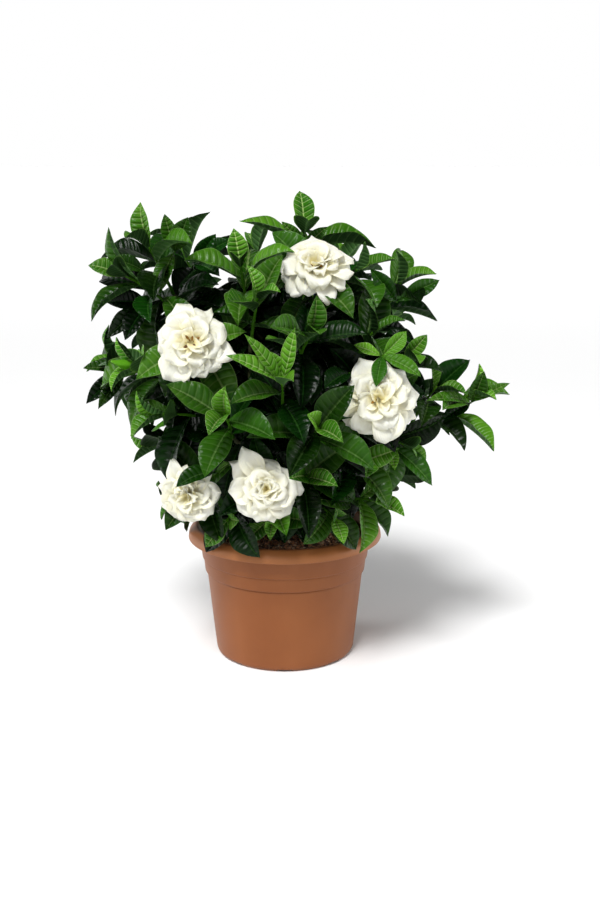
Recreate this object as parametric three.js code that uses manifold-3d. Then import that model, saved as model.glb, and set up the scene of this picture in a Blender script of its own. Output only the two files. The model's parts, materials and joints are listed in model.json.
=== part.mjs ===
// A gardenia bush in a moulded plant pot. Units are millimetres and +Z is up.
// The origin is the centre of the pot's flat underside, and the front of the plant faces -Y.
//
// Pieces: the pot, the potting soil that fills it, one woody stem that forks into limbs and twigs,
// a leafy shoot on the end of every twig, and the double white blooms that five of the shoots carry.
// Every piece is its own mesh. Pieces that meet keep a gap of JOINT_GAP.
import * as THREE from "three";
import Module from "manifold-3d";

const wasm = await Module();
wasm.setup();

// ---- Driving dimensions --------------------------------------------------------------------------
const JOINT_GAP = 0.35; // between pieces that touch on the real plant
const SLIVER = 0.08; // a join may move its new corners by this much
const POT_SIDES = 28;
const SOIL_SIDES = 14;
const SOIL_TOP = 121;
const SOIL_LUMPS = 2.4; // height of the relief in the soil's surface
const TRUNK_FOOT = 88; // the woody stem stands this high above the underside, in its hole in the soil
const TRUNK_FORK = 148;
const TRUNK_RADIUS = 8.5;
const TWIG_RADIUS = 1.9;
const SHOOT_RADIUS = 1.7;
const SHOOT_TIP_RADIUS = 1.0;
const LEAF_THICKNESS = 1.5; // at the midrib; the margin is thin
const PETAL_THICKNESS = 1.3;
const LEAF_CLEARANCE = 0.5; // all round a leaf, to whatever belongs to another piece
const SHARED_ROOT = 14; // cubic millimetres that a leaf may share with its own shoot, at its root

const COLOURS = {
  pot: 0x9a5c38,
  soil: 0x3a2417,
  wood: 0x6b5a3c,
  leaf: 0x1f4f1c,
  petal: 0xf3efdc,
};

// Half-width of a leaf along its length, as a share of its greatest half-width: petiole, then a blade
// that is widest a little past the middle and runs out to a point.
const LEAF_STATIONS = [0.22, 0.53, 0.82];
const YOUNG_STATIONS = [0.34, 0.7];
const LEAF_WIDEST = 0.53;
const LEAF_TAPER = 1.3;
const leafProfile = (t) =>
  (t / LEAF_WIDEST) ** LEAF_TAPER * ((1 - t) / (1 - LEAF_WIDEST)) ** (LEAF_TAPER * (1 / LEAF_WIDEST - 1));

// The same for a petal: widest near its outer end, and rounded there.
const PETAL_STATIONS = [0.36, 0.72, 0.94];
const petalProfile = (t) => Math.sin(Math.PI * Math.min(1, t) ** 1.5) ** 0.55 * 0.97 + 0.03;

// The limbs that the trunk forks into, by the point where each ends.
const LIMB_ENDS = [
  [-78, -22, 262],
  [-26, -72, 250],
  [82, -28, 252],
  [-14, 78, 258],
  [8, -6, 300],
];

// Every leafy shoot: its growing tip, the way it points, its pairs of leaves, and their length.
// The first five carry the blooms. `spin` turns the pairs round the stem, and `open` leans all but
// the youngest pair further out.
const SHOOTS = [
  { tip: [27, -62, 378], aim: [0.05, -0.75, 0.6], pairs: 2, leaf: 61, bloom: 0 },
  { tip: [-76, -112, 324], aim: [-0.08, -0.95, 0.22], pairs: 3, leaf: 64, bloom: 1 },
  { tip: [80, -102, 274], aim: [0.18, -0.93, 0.2], pairs: 3, leaf: 61, bloom: 2 },
  { tip: [-15, -121, 198], aim: [0.05, -0.95, 0.22], pairs: 2, leaf: 59, bloom: 3 },
  { tip: [-80, -100, 190], aim: [-0.25, -0.9, -0.05], pairs: 2, leaf: 59, bloom: 4 },
  // front, from the top down
  { tip: [19, -12, 412], aim: [0.08, -0.35, 0.94], pairs: 3, leaf: 70, spin: 90, open: 18 },
  { tip: [-121, -42, 400], aim: [-0.4, -0.4, 0.8], pairs: 3, leaf: 66, spin: 70 },
  { tip: [-38, -58, 385], aim: [-0.1, -0.55, 0.85], pairs: 3, leaf: 66 },
  { tip: [-138, -68, 378], aim: [-0.75, -0.5, 0.5], pairs: 3, leaf: 66 },
  { tip: [66, -32, 380], aim: [0.6, -0.4, 0.7], pairs: 3, leaf: 59 },
  { tip: [-22, -104, 362], aim: [0.15, -0.6, 0.8], pairs: 3, leaf: 55 },
  { tip: [108, -14, 366], aim: [0.5, -0.4, 0.78], pairs: 3, leaf: 59 },
  { tip: [24, -120, 334], aim: [0.3, -0.7, 0.65], pairs: 3, leaf: 59 },
  { tip: [80, -60, 326], aim: [0.45, -0.5, 0.75], pairs: 3, leaf: 64 },
  { tip: [-130, -78, 298], aim: [-0.8, -0.55, 0.3], pairs: 3, leaf: 64, bud: true },
  { tip: [0, -142, 294], aim: [0, -0.75, 0.65], pairs: 3, leaf: 61 },
  { tip: [110, -56, 302], aim: [0.6, -0.55, 0.6], pairs: 3, leaf: 55 },
  { tip: [140, -38, 270], aim: [0.4, -0.55, 0.72], pairs: 3, leaf: 58, spin: 75 },
  { tip: [173, -26, 262], aim: [0.55, -0.5, 0.65], pairs: 3, leaf: 56, spin: 95 },
  { tip: [-49, -142, 268], aim: [-0.1, -0.85, 0.5], pairs: 3, leaf: 61 },
  { tip: [30, -142, 256], aim: [0.1, -0.9, 0.4], pairs: 3, leaf: 59 },
  { tip: [-106, -90, 258], aim: [-0.75, -0.6, 0.1], pairs: 3, leaf: 64 },
  { tip: [108, -66, 226], aim: [0.75, -0.55, -0.25], pairs: 3, leaf: 59 },
  { tip: [70, -92, 214], aim: [0.5, -0.8, 0.25], pairs: 3, leaf: 59 },
  { tip: [20, -120, 208], aim: [0.2, -0.9, 0.3], pairs: 3, leaf: 64 },
  { tip: [80, -66, 172], aim: [0.72, -0.62, 0.1], pairs: 3, leaf: 57 },
  { tip: [46, -90, 162], aim: [0.3, -0.9, -0.1], pairs: 3, leaf: 50 },
  { tip: [-50, -88, 160], aim: [-0.4, -0.85, -0.2], pairs: 3, leaf: 61 },
  { tip: [-10, -92, 160], aim: [-0.1, -0.95, -0.05], pairs: 2, leaf: 46 },
  // sides and back
  { tip: [-152, -6, 292], aim: [-0.9, -0.2, 0.35], pairs: 3, leaf: 66 },
  { tip: [-100, 44, 394], aim: [-0.4, 0.35, 0.85], pairs: 3, leaf: 66 },
  { tip: [-28, 66, 386], aim: [-0.05, 0.45, 0.9], pairs: 3, leaf: 64 },
  { tip: [54, 62, 374], aim: [0.3, 0.4, 0.85], pairs: 3, leaf: 64 },
  { tip: [98, 68, 322], aim: [0.6, 0.5, 0.65], pairs: 3, leaf: 64 },
  { tip: [-138, 66, 274], aim: [-0.8, 0.4, 0.35], pairs: 3, leaf: 66 },
  { tip: [-84, 112, 334], aim: [-0.45, 0.75, 0.45], pairs: 3, leaf: 66 },
  { tip: [4, 132, 344], aim: [0.05, 0.85, 0.5], pairs: 3, leaf: 66 },
  { tip: [77, 117, 288], aim: [0.5, 0.8, 0.3], pairs: 3, leaf: 66 },
  { tip: [122, 30, 246], aim: [0.8, 0.3, 0.45], pairs: 3, leaf: 61 },
  { tip: [-92, 104, 212], aim: [-0.6, 0.75, 0.1], pairs: 3, leaf: 64 },
  { tip: [-16, 136, 256], aim: [-0.1, 0.9, 0.35], pairs: 3, leaf: 66 },
  { tip: [76, 102, 198], aim: [0.55, 0.8, 0.15], pairs: 3, leaf: 61 },
  { tip: [-118, 6, 208], aim: [-0.95, 0, -0.15], pairs: 3, leaf: 64 },
  { tip: [-6, 98, 170], aim: [-0.05, 0.95, -0.1], pairs: 3, leaf: 59 },
  { tip: [-98, -34, 168], aim: [-0.9, -0.35, -0.1], pairs: 3, leaf: 58 },
  { tip: [104, 26, 172], aim: [0.9, 0.3, -0.1], pairs: 3, leaf: 58 },
  { tip: [-66, 78, 160], aim: [-0.65, 0.75, -0.05], pairs: 3, leaf: 58 },
  { tip: [54, 84, 158], aim: [0.5, 0.85, -0.1], pairs: 3, leaf: 58 },
];
const SHOOT_LENGTH = 46;

// The pairs of leaves of a shoot, from its tip down: where each grows along the stem, how far its
// leaves lean from the stem's direction, their size against the shoot's leaf length, and how
// strongly they curl back. Each pair stands at right angles to the next.
const PAIRS = [
  { at: 0.97, lean: 22, size: 0.62, curl: 26 },
  { at: 0.72, lean: 46, size: 0.92, curl: 30 },
  { at: 0.4, lean: 61, size: 1.0, curl: 34 },
  { at: 0.1, lean: 74, size: 0.96, curl: 36 },
];

// A leaf that would cross another piece is bent to the first of these that is clear: a turn round
// the stem and a change of lean, in degrees, and a share of its size.
const BENDS = [
  [0, 0, 1],
  [15, 0, 1],
  [-15, 0, 1],
  [0, -15, 1],
  [0, 14, 1],
  [26, -10, 1],
  [-26, -10, 1],
  [22, 15, 0.92],
  [-22, 15, 0.92],
  [0, -28, 0.92],
  [38, 0, 0.88],
  [-38, 0, 0.88],
  [0, 28, 0.85],
  [0, 0, 0.75],
  [30, -14, 0.75],
  [-30, -14, 0.75],
];

// Petals of a double bloom by whorl, from the outside in: how many, their length and half-width,
// how far they lean from the bloom's axis, how they curl back, how deeply they are cupped, how they
// roll over their neighbours, and how far up the flower's core they grow.
const PETAL_WHORLS = [
  { count: 6, length: 33, half: 14, lean: 84, curl: 16, cup: 12, roll: 16, up: 11 },
  { count: 6, length: 29, half: 12, lean: 56, curl: 34, cup: 22, roll: 16, up: 13 },
  { count: 4, length: 21, half: 10, lean: 26, curl: 30, cup: 34, roll: 18, up: 15 },
];
const BLOOMS = [
  { size: 0.94, spin: 10, open: 0 },
  { size: 0.95, spin: 32, open: 6 },
  { size: 1.02, spin: 5, open: 4 },
  { size: 0.88, spin: 50, open: -6 },
  { size: 0.78, spin: 20, open: -10 },
];

// ---- Small tools ---------------------------------------------------------------------------------
const vec = (x, y, z) => new THREE.Vector3(x, y, z);
const UP = vec(0, 0, 1);
const radians = (degrees) => (degrees * Math.PI) / 180;
const mix = (a, b, t) => a + (b - a) * t;

// A number from 0 to 1 that looks random and depends only on its three whole-number keys.
const chance = (a, b, c) => {
  const s = Math.sin(a * 12.9898 + b * 78.233 + c * 37.719) * 43758.5453;
  return s - Math.floor(s);
};
const spread = (a, b, c) => 2 * chance(a, b, c) - 1;

// A closed surface through rings of points, as positions and triangles. Rings have the same number
// of points, apart from a first or last ring of one point, which closes that end. `fold` alternates
// the diagonals, so that the two faces of a thin blade are split alike.
function loft(rings, fold = false) {
  const positions = rings.flat().flatMap((p) => [p.x, p.y, p.z]);
  const starts = rings.map((_, i) => rings.slice(0, i).reduce((n, r) => n + r.length, 0));
  const triangles = [];
  const sides = rings[1].length;
  for (let i = 0; i + 1 < rings.length; i++) {
    const [a, b] = [starts[i], starts[i + 1]];
    for (let j = 0; j < sides; j++) {
      const k = (j + 1) % sides;
      if (rings[i].length === 1) triangles.push(a, b + k, b + j);
      else if (rings[i + 1].length === 1) triangles.push(a + j, a + k, b);
      else if (fold && j % 2) triangles.push(a + j, a + k, b + j, a + k, b + k, b + j);
      else triangles.push(a + j, a + k, b + k, a + j, b + k, b + j);
    }
  }
  for (const [i, turn] of [[0, 1], [rings.length - 1, 0]])
    for (let j = 1; j + 1 < rings[i].length; j++)
      triangles.push(starts[i], starts[i] + j + turn, starts[i] + j + 1 - turn);
  return { positions, triangles };
}

// A manifold-3d solid of a closed surface, turned the right way out.
function solidOf({ positions, triangles }) {
  const make = (triVerts) =>
    new wasm.Manifold(
      new wasm.Mesh({
        numProp: 3,
        vertProperties: new Float32Array(positions),
        triVerts: new Uint32Array(triVerts),
      }),
    );
  const made = make(triangles);
  if (made.volume() > 0) return made;
  return make(triangles.flatMap((_, i, all) => (i % 3 ? [] : [all[i], all[i + 2], all[i + 1]])));
}

// A solid of revolution about Z, from [radius, height] points that start and end on the axis or close.
function turned(profile, sides) {
  const geometry = new THREE.LatheGeometry(
    profile.map(([r, z]) => new THREE.Vector2(r, z)),
    sides,
  ).rotateX(Math.PI / 2);
  return weld(geometry);
}

// The positions and triangles of a geometry with the vertices that share a place merged.
function weld(geometry) {
  const position = geometry.getAttribute("position");
  const index = geometry.index ? [...geometry.index.array] : [...Array(position.count).keys()];
  const places = new Map();
  const positions = [];
  const renamed = Array.from({ length: position.count }, (_, i) => {
    const point = vec().fromBufferAttribute(position, i);
    const key = point.toArray().map((c) => Math.round(c * 1e3)).join();
    if (!places.has(key)) {
      places.set(key, places.size);
      positions.push(...point.toArray());
    }
    return places.get(key);
  });
  const triangles = [];
  for (let i = 0; i < index.length; i += 3) {
    const [a, b, c] = [0, 1, 2].map((k) => renamed[index[i + k]]);
    if (a !== b && b !== c && c !== a) triangles.push(a, b, c);
  }
  return solidOf({ positions, triangles });
}

// Solids joined into one, without the slivers that a join can leave.
const joined = (solids) => wasm.Manifold.union(solids).asOriginal().simplify(SLIVER);

function meshOf(name, solid, colour, roughness) {
  const mesh = solid.getMesh();
  const geometry = new THREE.BufferGeometry();
  geometry.setAttribute("position", new THREE.BufferAttribute(new Float32Array(mesh.vertProperties), 3));
  geometry.setIndex(new THREE.BufferAttribute(new Uint32Array(mesh.triVerts), 1));
  geometry.computeVertexNormals();
  const material = new THREE.MeshStandardMaterial({ color: colour, roughness, metalness: 0 });
  const made = new THREE.Mesh(geometry, material);
  made.name = name;
  return made;
}

// Two directions across `axis`, and at right angles to each other.
function across(axis) {
  const first = vec().crossVectors(axis, Math.abs(axis.z) < 0.95 ? UP : vec(1, 0, 0)).normalize();
  return [first, vec().crossVectors(first, axis).normalize()];
}

// A tapered stem along a curve: radii are given at even steps along it, and `start` is the angle of
// its first corner.
function stem(curve, radii, sides, start = 0) {
  const rings = radii.map((radius, i) => {
    const t = i / (radii.length - 1);
    const [u, v] = across(curve.getTangent(t));
    return Array.from({ length: sides }, (_, j) => {
      const turn = start + (2 * Math.PI * j) / sides;
      return curve
        .getPoint(t)
        .addScaledVector(u, radius * Math.cos(turn))
        .addScaledVector(v, radius * Math.sin(turn));
    });
  });
  return loft(rings);
}

// ---- Blades: leaves and petals -------------------------------------------------------------------
// A blade grows from `root` along `along`, with `up` the normal of its upper face, and its midrib
// bends away from `up` on an arc of `curl` radians. Its cross-section is a flat V whose sides rise by
// `cup` radians, `roll` turns it about its own length, and `wave` lifts and drops the margin.
// It is thickest at the midrib near its foot, and `margin` grows it all round.
function blade(form, stations, profile, margin = 0) {
  const { root, along, up, length, half, curl, cup, roll = 0, wave, phase, thickness } = form;
  const side = vec().crossVectors(along, up).normalize();
  const middle = (t, grown) =>
    root
      .clone()
      .addScaledVector(along, (grown * Math.sin(curl * t)) / curl)
      .addScaledVector(up, (-grown * (1 - Math.cos(curl * t))) / curl);
  const ring = (t) => {
    const centre = middle(t, length);
    const normal = up.clone().multiplyScalar(Math.cos(curl * t)).addScaledVector(along, Math.sin(curl * t));
    const flat = side.clone().multiplyScalar(Math.cos(roll)).addScaledVector(normal, Math.sin(roll));
    const face = normal.clone().multiplyScalar(Math.cos(roll)).addScaledVector(side, -Math.sin(roll));
    const wide = half * profile(t) + margin;
    const thick = thickness * (1.25 - 0.5 * t) * 0.5 + margin;
    const edge = (way) =>
      centre
        .clone()
        .addScaledVector(flat, way * wide * Math.cos(cup))
        .addScaledVector(face, wide * Math.sin(cup) + wave * Math.sin(phase + 5 * t * way + way));
    return [edge(-1), centre.clone().addScaledVector(face, -thick), edge(1), centre.clone().addScaledVector(face, thick)];
  };
  const tip = [middle(1, length + margin)];
  return solidOf(loft([[root], ...stations.map(ring), tip], true));
}

const boxesMeet = (a, b) =>
  [0, 1, 2].every((i) => a.min[i] <= b.max[i] && b.min[i] <= a.max[i]);

// What has been built so far, so that a new leaf can be kept clear of it.
const built = [];
const remember = (owner, solid) => {
  built.push({ owner, solid, box: solid.boundingBox() });
  return solid;
};
const isClear = (owner, guard) => {
  const box = guard.boundingBox();
  return !built.some(
    (other) =>
      boxesMeet(box, other.box) &&
      guard.intersect(other.solid).volume() > (other.owner === owner ? SHARED_ROOT : 0),
  );
};

// ---- Pot -----------------------------------------------------------------------------------------
// One moulded wall: a flat floor, a straight tapering side, a collar of two shallow steps, and a
// rolled rim that overhangs the collar like a gutter.
const POT_PROFILE = [
  [0, 0],
  [65.4, 0],
  [68.4, 3],
  [77.0, 83.8],
  [79.2, 85.4],
  [80.2, 97.0],
  [81.6, 98.6],
  [84.0, 119],
  [86.4, 125.9],
  [89.6, 125.6],
  [92.6, 117.6],
  [95, 117.6],
  [93.8, 124.8],
  [87.8, 130],
  [82.8, 128.4],
  [78.6, 119],
  [73.4, 83.8],
  [65.0, 3.6],
  [0, 3.6],
];
const DRAIN_COUNT = 8;
const DRAIN = { width: 14, depth: 9, height: 2.4, radius: 67.5 };

function pot() {
  const drains = Array.from({ length: DRAIN_COUNT }, (_, i) => {
    const slot = new THREE.BoxGeometry(DRAIN.depth, DRAIN.width, DRAIN.height * 2);
    slot.translate(DRAIN.radius, 0, 0).rotateZ(-Math.PI / 2 + (2 * Math.PI * i) / DRAIN_COUNT);
    return weld(slot);
  });
  return turned(POT_PROFILE, POT_SIDES).subtract(joined(drains));
}

// ---- Soil ----------------------------------------------------------------------------------------
// The soil fills the pot and stops a little below the rim. Its surface is lumpy, and heaped up
// slightly round the stem.
function soil() {
  const walls = [
    [63.4, 4.4],
    [71.9, 83.8],
    [77.6, SOIL_TOP - 2.4],
  ];
  const surface = [77.4, 60, 41, 23];
  const circle = (radius, height) =>
    Array.from({ length: SOIL_SIDES }, (_, j) => {
      const turn = (2 * Math.PI * j) / SOIL_SIDES;
      return vec(radius * Math.cos(turn), radius * Math.sin(turn), height(j));
    });
  const rings = walls.map(([radius, z]) => circle(radius, () => z));
  surface.forEach((radius, i) =>
    rings.push(circle(radius, (j) => SOIL_TOP + (77 - radius) * 0.04 + SOIL_LUMPS * spread(i, j, 5))),
  );
  rings.push([vec(0, 0, SOIL_TOP + 4)]);
  return solidOf(loft(rings));
}

// ---- Wood ----------------------------------------------------------------------------------------
const trunkCurve = new THREE.QuadraticBezierCurve3(
  vec(0, 0, TRUNK_FOOT),
  vec(0, 0, 118),
  vec(2, -1, TRUNK_FORK),
);
const limbCurves = LIMB_ENDS.map(
  ([x, y, z]) => new THREE.QuadraticBezierCurve3(vec(0, 0, TRUNK_FORK - 8), vec(x * 0.3, y * 0.3, mix(TRUNK_FORK, z, 0.55)), vec(x, y, z)),
);

// A shoot's own curve: it leaves its twig a little below its aim and straightens towards the tip.
function shootCurve({ tip, aim }) {
  const end = vec(...tip);
  const way = vec(...aim).normalize();
  const start = end.clone().addScaledVector(way, -SHOOT_LENGTH).add(vec(0, 0, -5));
  const control = end.clone().addScaledVector(way, -SHOOT_LENGTH * 0.5);
  return new THREE.QuadraticBezierCurve3(start, control, end);
}
const shootCurves = SHOOTS.map(shootCurve);

// A twig leaves the nearest point of the nearest limb, from a little below the shoot, and ends just
// short of the shoot, heading the same way.
function twigCurve(curve) {
  const way = curve.getTangent(0);
  const end = curve.getPoint(0).addScaledVector(way, -JOINT_GAP);
  const below = end.clone().addScaledVector(way, -22).add(vec(0, 0, -26));
  const forks = limbCurves.flatMap((limb) => limb.getPoints(24).slice(3));
  const fork = forks.reduce((a, b) => (b.distanceTo(below) < a.distanceTo(below) ? b : a));
  const control = end.clone().addScaledVector(way, -0.45 * fork.distanceTo(end));
  return new THREE.QuadraticBezierCurve3(fork, control, end);
}
const twigCurves = shootCurves.map(twigCurve);

function wood() {
  const trunk = stem(trunkCurve, [TRUNK_RADIUS + 1, TRUNK_RADIUS, TRUNK_RADIUS - 1], 7);
  const limbs = limbCurves.map((curve) => stem(curve, [5.6, 4.6, 3.4], 4));
  const twigs = twigCurves.map((curve) => stem(curve, [2.6, 2.2, TWIG_RADIUS], 3));
  return joined([trunk, ...limbs, ...twigs].map(solidOf));
}

const soilHole = () =>
  solidOf(
    stem(
      new THREE.LineCurve3(vec(0, 0, TRUNK_FOOT - JOINT_GAP), vec(0, 0, TRUNK_FORK + 10)),
      [TRUNK_RADIUS + 2.2, TRUNK_RADIUS + 2.2],
      8,
    ),
  );

// ---- Blooms --------------------------------------------------------------------------------------
// A bloom stands on its shoot's calyx: a short tube that widens into a rounded core, and whorls of
// petals that grow out of the core and overlap like the vanes of a pinwheel.
function bloom(index) {
  const { size, spin, open } = BLOOMS[index];
  const shoot = SHOOTS.findIndex((s) => s.bloom === index);
  const axis = shootCurves[shoot].getTangent(1);
  const base = shootCurves[shoot].getPoint(1).addScaledVector(axis, JOINT_GAP);
  const [u, v] = across(axis);
  const core = stem(new THREE.LineCurve3(base, base.clone().addScaledVector(axis, 25 * size)), [3, 4, 7.5, 7, 4.5], 5);
  const petals = PETAL_WHORLS.flatMap((whorl, w) =>
    Array.from({ length: whorl.count }, (_, k) => {
      const turn = radians(spin + w * 27 + (360 * k) / whorl.count + 6 * spread(index, w, k));
      const radial = u.clone().multiplyScalar(Math.cos(turn)).addScaledVector(v, Math.sin(turn));
      const lean = radians(whorl.lean + open * (w + 1) * 0.5 + 5 * spread(index, w, k + 20));
      return blade(
        {
          root: base.clone().addScaledVector(axis, whorl.up * size).addScaledVector(radial, 1.5),
          along: axis.clone().multiplyScalar(Math.cos(lean)).addScaledVector(radial, Math.sin(lean)),
          up: axis.clone().multiplyScalar(Math.sin(lean)).addScaledVector(radial, -Math.cos(lean)),
          length: whorl.length * size * (1 + 0.07 * spread(index, w, k + 40)),
          half: whorl.half * size,
          curl: radians(whorl.curl + 10 * spread(index, w, k + 60)),
          cup: radians(whorl.cup),
          roll: radians(whorl.roll),
          wave: 1.2,
          phase: 6.28 * chance(index, w, k + 80),
          thickness: PETAL_THICKNESS,
        },
        PETAL_STATIONS,
        petalProfile,
      );
    }),
  );
  return joined([solidOf(core), ...petals]);
}

// ---- Leafy shoots --------------------------------------------------------------------------------
// The angle of a shoot's first pair of leaves round its stem.
const firstTurn = (s) => radians(SHOOTS[s].spin ?? 180 * chance(s, 0, 9));

// The form of one leaf: leaf k of pair w on shoot s, after a bend of BENDS.
function leafForm(s, w, k, [turnBy, leanBy, sizeBy]) {
  const curve = shootCurves[s];
  const { at, lean, size, curl } = PAIRS[w];
  const opened = w ? (SHOOTS[s].open ?? 0) : 0;
  const axis = curve.getTangent(at);
  const [u, v] = across(axis);
  const turn = firstTurn(s) + radians(90 * w + 180 * k + 12 * spread(s, w, k) + turnBy);
  const radial = u.clone().multiplyScalar(Math.cos(turn)).addScaledVector(v, Math.sin(turn));
  const away = radians(lean + opened + leanBy + 10 * spread(s, w, k + 10));
  const along = axis.clone().multiplyScalar(Math.cos(away)).addScaledVector(radial, Math.sin(away));
  const inner = axis.clone().multiplyScalar(Math.sin(away)).addScaledVector(radial, -Math.cos(away));
  // the blade twists on its stalk, so that its face turns part of the way to the light
  const up = inner.addScaledVector(UP, 0.45);
  up.addScaledVector(along, -up.dot(along)).normalize();
  const length = SHOOTS[s].leaf * size * sizeBy * (1 + 0.1 * spread(s, w, k + 20));
  return {
    root: curve.getPoint(at),
    along,
    up,
    length,
    half: length * (0.27 + 0.03 * spread(s, w, k + 30)),
    curl: radians(curl + 16 * spread(s, w, k + 40)),
    cup: radians(23 + 12 * spread(s, w, k + 50)),
    wave: 0.02 * length,
    phase: 6.28 * chance(s, w, k + 60),
    thickness: LEAF_THICKNESS,
  };
}

// The leaves of a shoot as [pair, leaf]. A shoot that carries a bloom has it in place of its last pair.
const leafSlots = (s) =>
  PAIRS.slice(0, SHOOTS[s].pairs + (SHOOTS[s].bloom === undefined ? 0 : 1)).flatMap((_, w) =>
    w === 0 && SHOOTS[s].bloom !== undefined ? [] : [[w, 0], [w, 1]],
  );

// Leaves of one shoot, each bent to the first of BENDS that is clear of every other piece.
function leavesOf(s) {
  return leafSlots(s).flatMap(([w, k]) => {
    for (const bend of BENDS) {
      const form = leafForm(s, w, k, bend);
      const stations = w ? LEAF_STATIONS : YOUNG_STATIONS;
      const guard = blade(form, stations, leafProfile, LEAF_CLEARANCE);
      if (isClear(s, guard)) return [remember(s, blade(form, stations, leafProfile))];
    }
    return [];
  });
}

// The stem of a shoot. Below a bloom it swells into the calyx, and below a bud it ends in the bud.
function shootStem(s) {
  const { bloom: bears, bud } = SHOOTS[s];
  const curve = shootCurves[s];
  const radii = bears === undefined ? [SHOOT_RADIUS, 1.4, SHOOT_TIP_RADIUS] : [SHOOT_RADIUS, 1.6, 1.6, 3.4];
  const made = [solidOf(stem(curve, radii, 4, firstTurn(s) + Math.PI / 4))];
  if (bud) {
    const start = curve.getPoint(0.95);
    const way = curve.getTangent(1);
    made.push(solidOf(stem(new THREE.LineCurve3(start, start.clone().addScaledVector(way, 30)), [1.2, 3.6, 4.6, 3.2, 0.8], 6)));
  }
  return joined(made);
}

// ---- Assembly ------------------------------------------------------------------------------------
const gardenia = new THREE.Group();
const woodSolid = remember("wood", wood());
const potSolid = remember("pot", pot());
const soilSolid = remember("soil", soil().subtract(soilHole()));
gardenia.add(meshOf("pot", potSolid, COLOURS.pot, 0.6));
gardenia.add(meshOf("soil", soilSolid, COLOURS.soil, 0.95));
gardenia.add(meshOf("woody_stems", woodSolid, COLOURS.wood, 0.85));

BLOOMS.forEach((_, i) => {
  const solid = remember("bloom" + i, bloom(i));
  gardenia.add(meshOf("bloom_" + (i + 1), solid, COLOURS.petal, 0.55));
});

const stems = SHOOTS.map((_, s) => remember(s, shootStem(s)));
const foliage = SHOOTS.map((_, s) => leavesOf(s));
stems.forEach((solid, s) => {
  const name = "leafy_shoot_" + String(s + 1).padStart(2, "0");
  gardenia.add(meshOf(name, joined([solid, ...foliage[s]]), COLOURS.leaf, 0.35));
});

export default gardenia;
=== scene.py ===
# %% [markdown]
# # A gardenia bush in its pot
#
# The real thing is a moulded plastic pot, soil that fills it, one woody stem that forks into limbs
# and twigs, and leafy shoots on the ends of the twigs, some of which carry a double white bloom.
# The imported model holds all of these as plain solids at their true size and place. This script
# dresses them: every solid is replaced by a finer surface that grows in the same place by the same
# rule, and gets a finish made from shader nodes.

# %% Load the solids
import json

import bpy
import numpy as np
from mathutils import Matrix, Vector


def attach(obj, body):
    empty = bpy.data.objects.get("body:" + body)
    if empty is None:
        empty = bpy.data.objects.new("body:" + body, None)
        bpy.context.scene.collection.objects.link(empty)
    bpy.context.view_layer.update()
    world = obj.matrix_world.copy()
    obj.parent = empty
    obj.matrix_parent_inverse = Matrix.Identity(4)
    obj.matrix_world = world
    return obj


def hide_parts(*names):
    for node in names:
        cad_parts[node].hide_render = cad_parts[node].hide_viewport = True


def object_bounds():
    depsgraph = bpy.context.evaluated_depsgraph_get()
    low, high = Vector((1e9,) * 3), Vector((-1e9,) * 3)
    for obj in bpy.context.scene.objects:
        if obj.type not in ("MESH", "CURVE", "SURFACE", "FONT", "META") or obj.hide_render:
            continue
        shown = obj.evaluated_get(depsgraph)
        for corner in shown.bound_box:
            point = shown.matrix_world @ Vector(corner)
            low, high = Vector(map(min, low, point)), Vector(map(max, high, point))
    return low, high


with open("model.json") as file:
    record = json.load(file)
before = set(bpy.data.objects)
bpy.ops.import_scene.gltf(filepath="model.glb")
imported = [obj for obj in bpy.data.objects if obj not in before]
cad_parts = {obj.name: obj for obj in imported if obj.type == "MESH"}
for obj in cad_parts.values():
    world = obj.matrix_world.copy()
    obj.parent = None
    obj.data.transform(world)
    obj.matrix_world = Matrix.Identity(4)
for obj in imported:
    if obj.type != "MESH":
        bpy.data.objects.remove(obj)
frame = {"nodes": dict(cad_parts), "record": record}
cad_box = [list(corner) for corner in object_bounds()]
record_slots = [material["slot"] for material in frame["record"]["materials"]]
print(len(frame["nodes"]), "solids, finishes", record_slots)
print("the object's box in metres:", np.round(cad_box, 3).tolist())

# %% [markdown]
# ## Small tools
#
# All forms are worked out in millimetres, the unit a pot maker would use, and turned into metres at
# the very end. A mesh is gathered in a `Sheaf`: blocks of points with their faces, and a few values
# for each point that the finishes read later. Nothing here walks over single points. Each form
# is a formula on whole arrays.

# %% Vectors, and a number that looks random
MM = 0.001
UP = np.array([0.0, 0.0, 1.0])


def unit(v):
    """The vector, or each row of vectors, divided by its own length."""
    v = np.asarray(v, float)
    return v / np.linalg.norm(v, axis=-1, keepdims=True)


def chance(a, b, c):
    """A value from 0 to 1 for three whole-number keys: the fraction part of a large sine."""
    s = np.sin(a * 12.9898 + b * 78.233 + c * 37.719) * 43758.5453
    return s - np.floor(s)


def spread(a, b, c):
    """The same from -1 to 1."""
    return 2 * chance(a, b, c) - 1


def across(axis):
    """Two directions across an axis: the axis times up (or times +X when it stands upright), and
    that direction times the axis."""
    first = unit(np.cross(axis, UP if abs(axis[2]) < 0.95 else [1.0, 0.0, 0.0]))
    return first, unit(np.cross(first, axis))


print("one chance:", round(float(chance(1, 2, 3)), 4))

# %% A curve for stems


class Bend:
    """A stem's centre line: a quadratic Bezier curve, (1-t)^2 a + 2(1-t)t b + t^2 c."""

    def __init__(self, a, b, c):
        self.a, self.b, self.c = (np.asarray(p, float) for p in (a, b, c))

    def at(self, t):
        t = np.asarray(t, float)[..., None]
        return (1 - t) ** 2 * self.a + 2 * (1 - t) * t * self.b + t**2 * self.c

    def way(self, t):
        t = np.asarray(t, float)[..., None]
        return unit((1 - t) * (self.b - self.a) + t * (self.c - self.b))


# %% Gathering points and faces into one mesh


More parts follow.
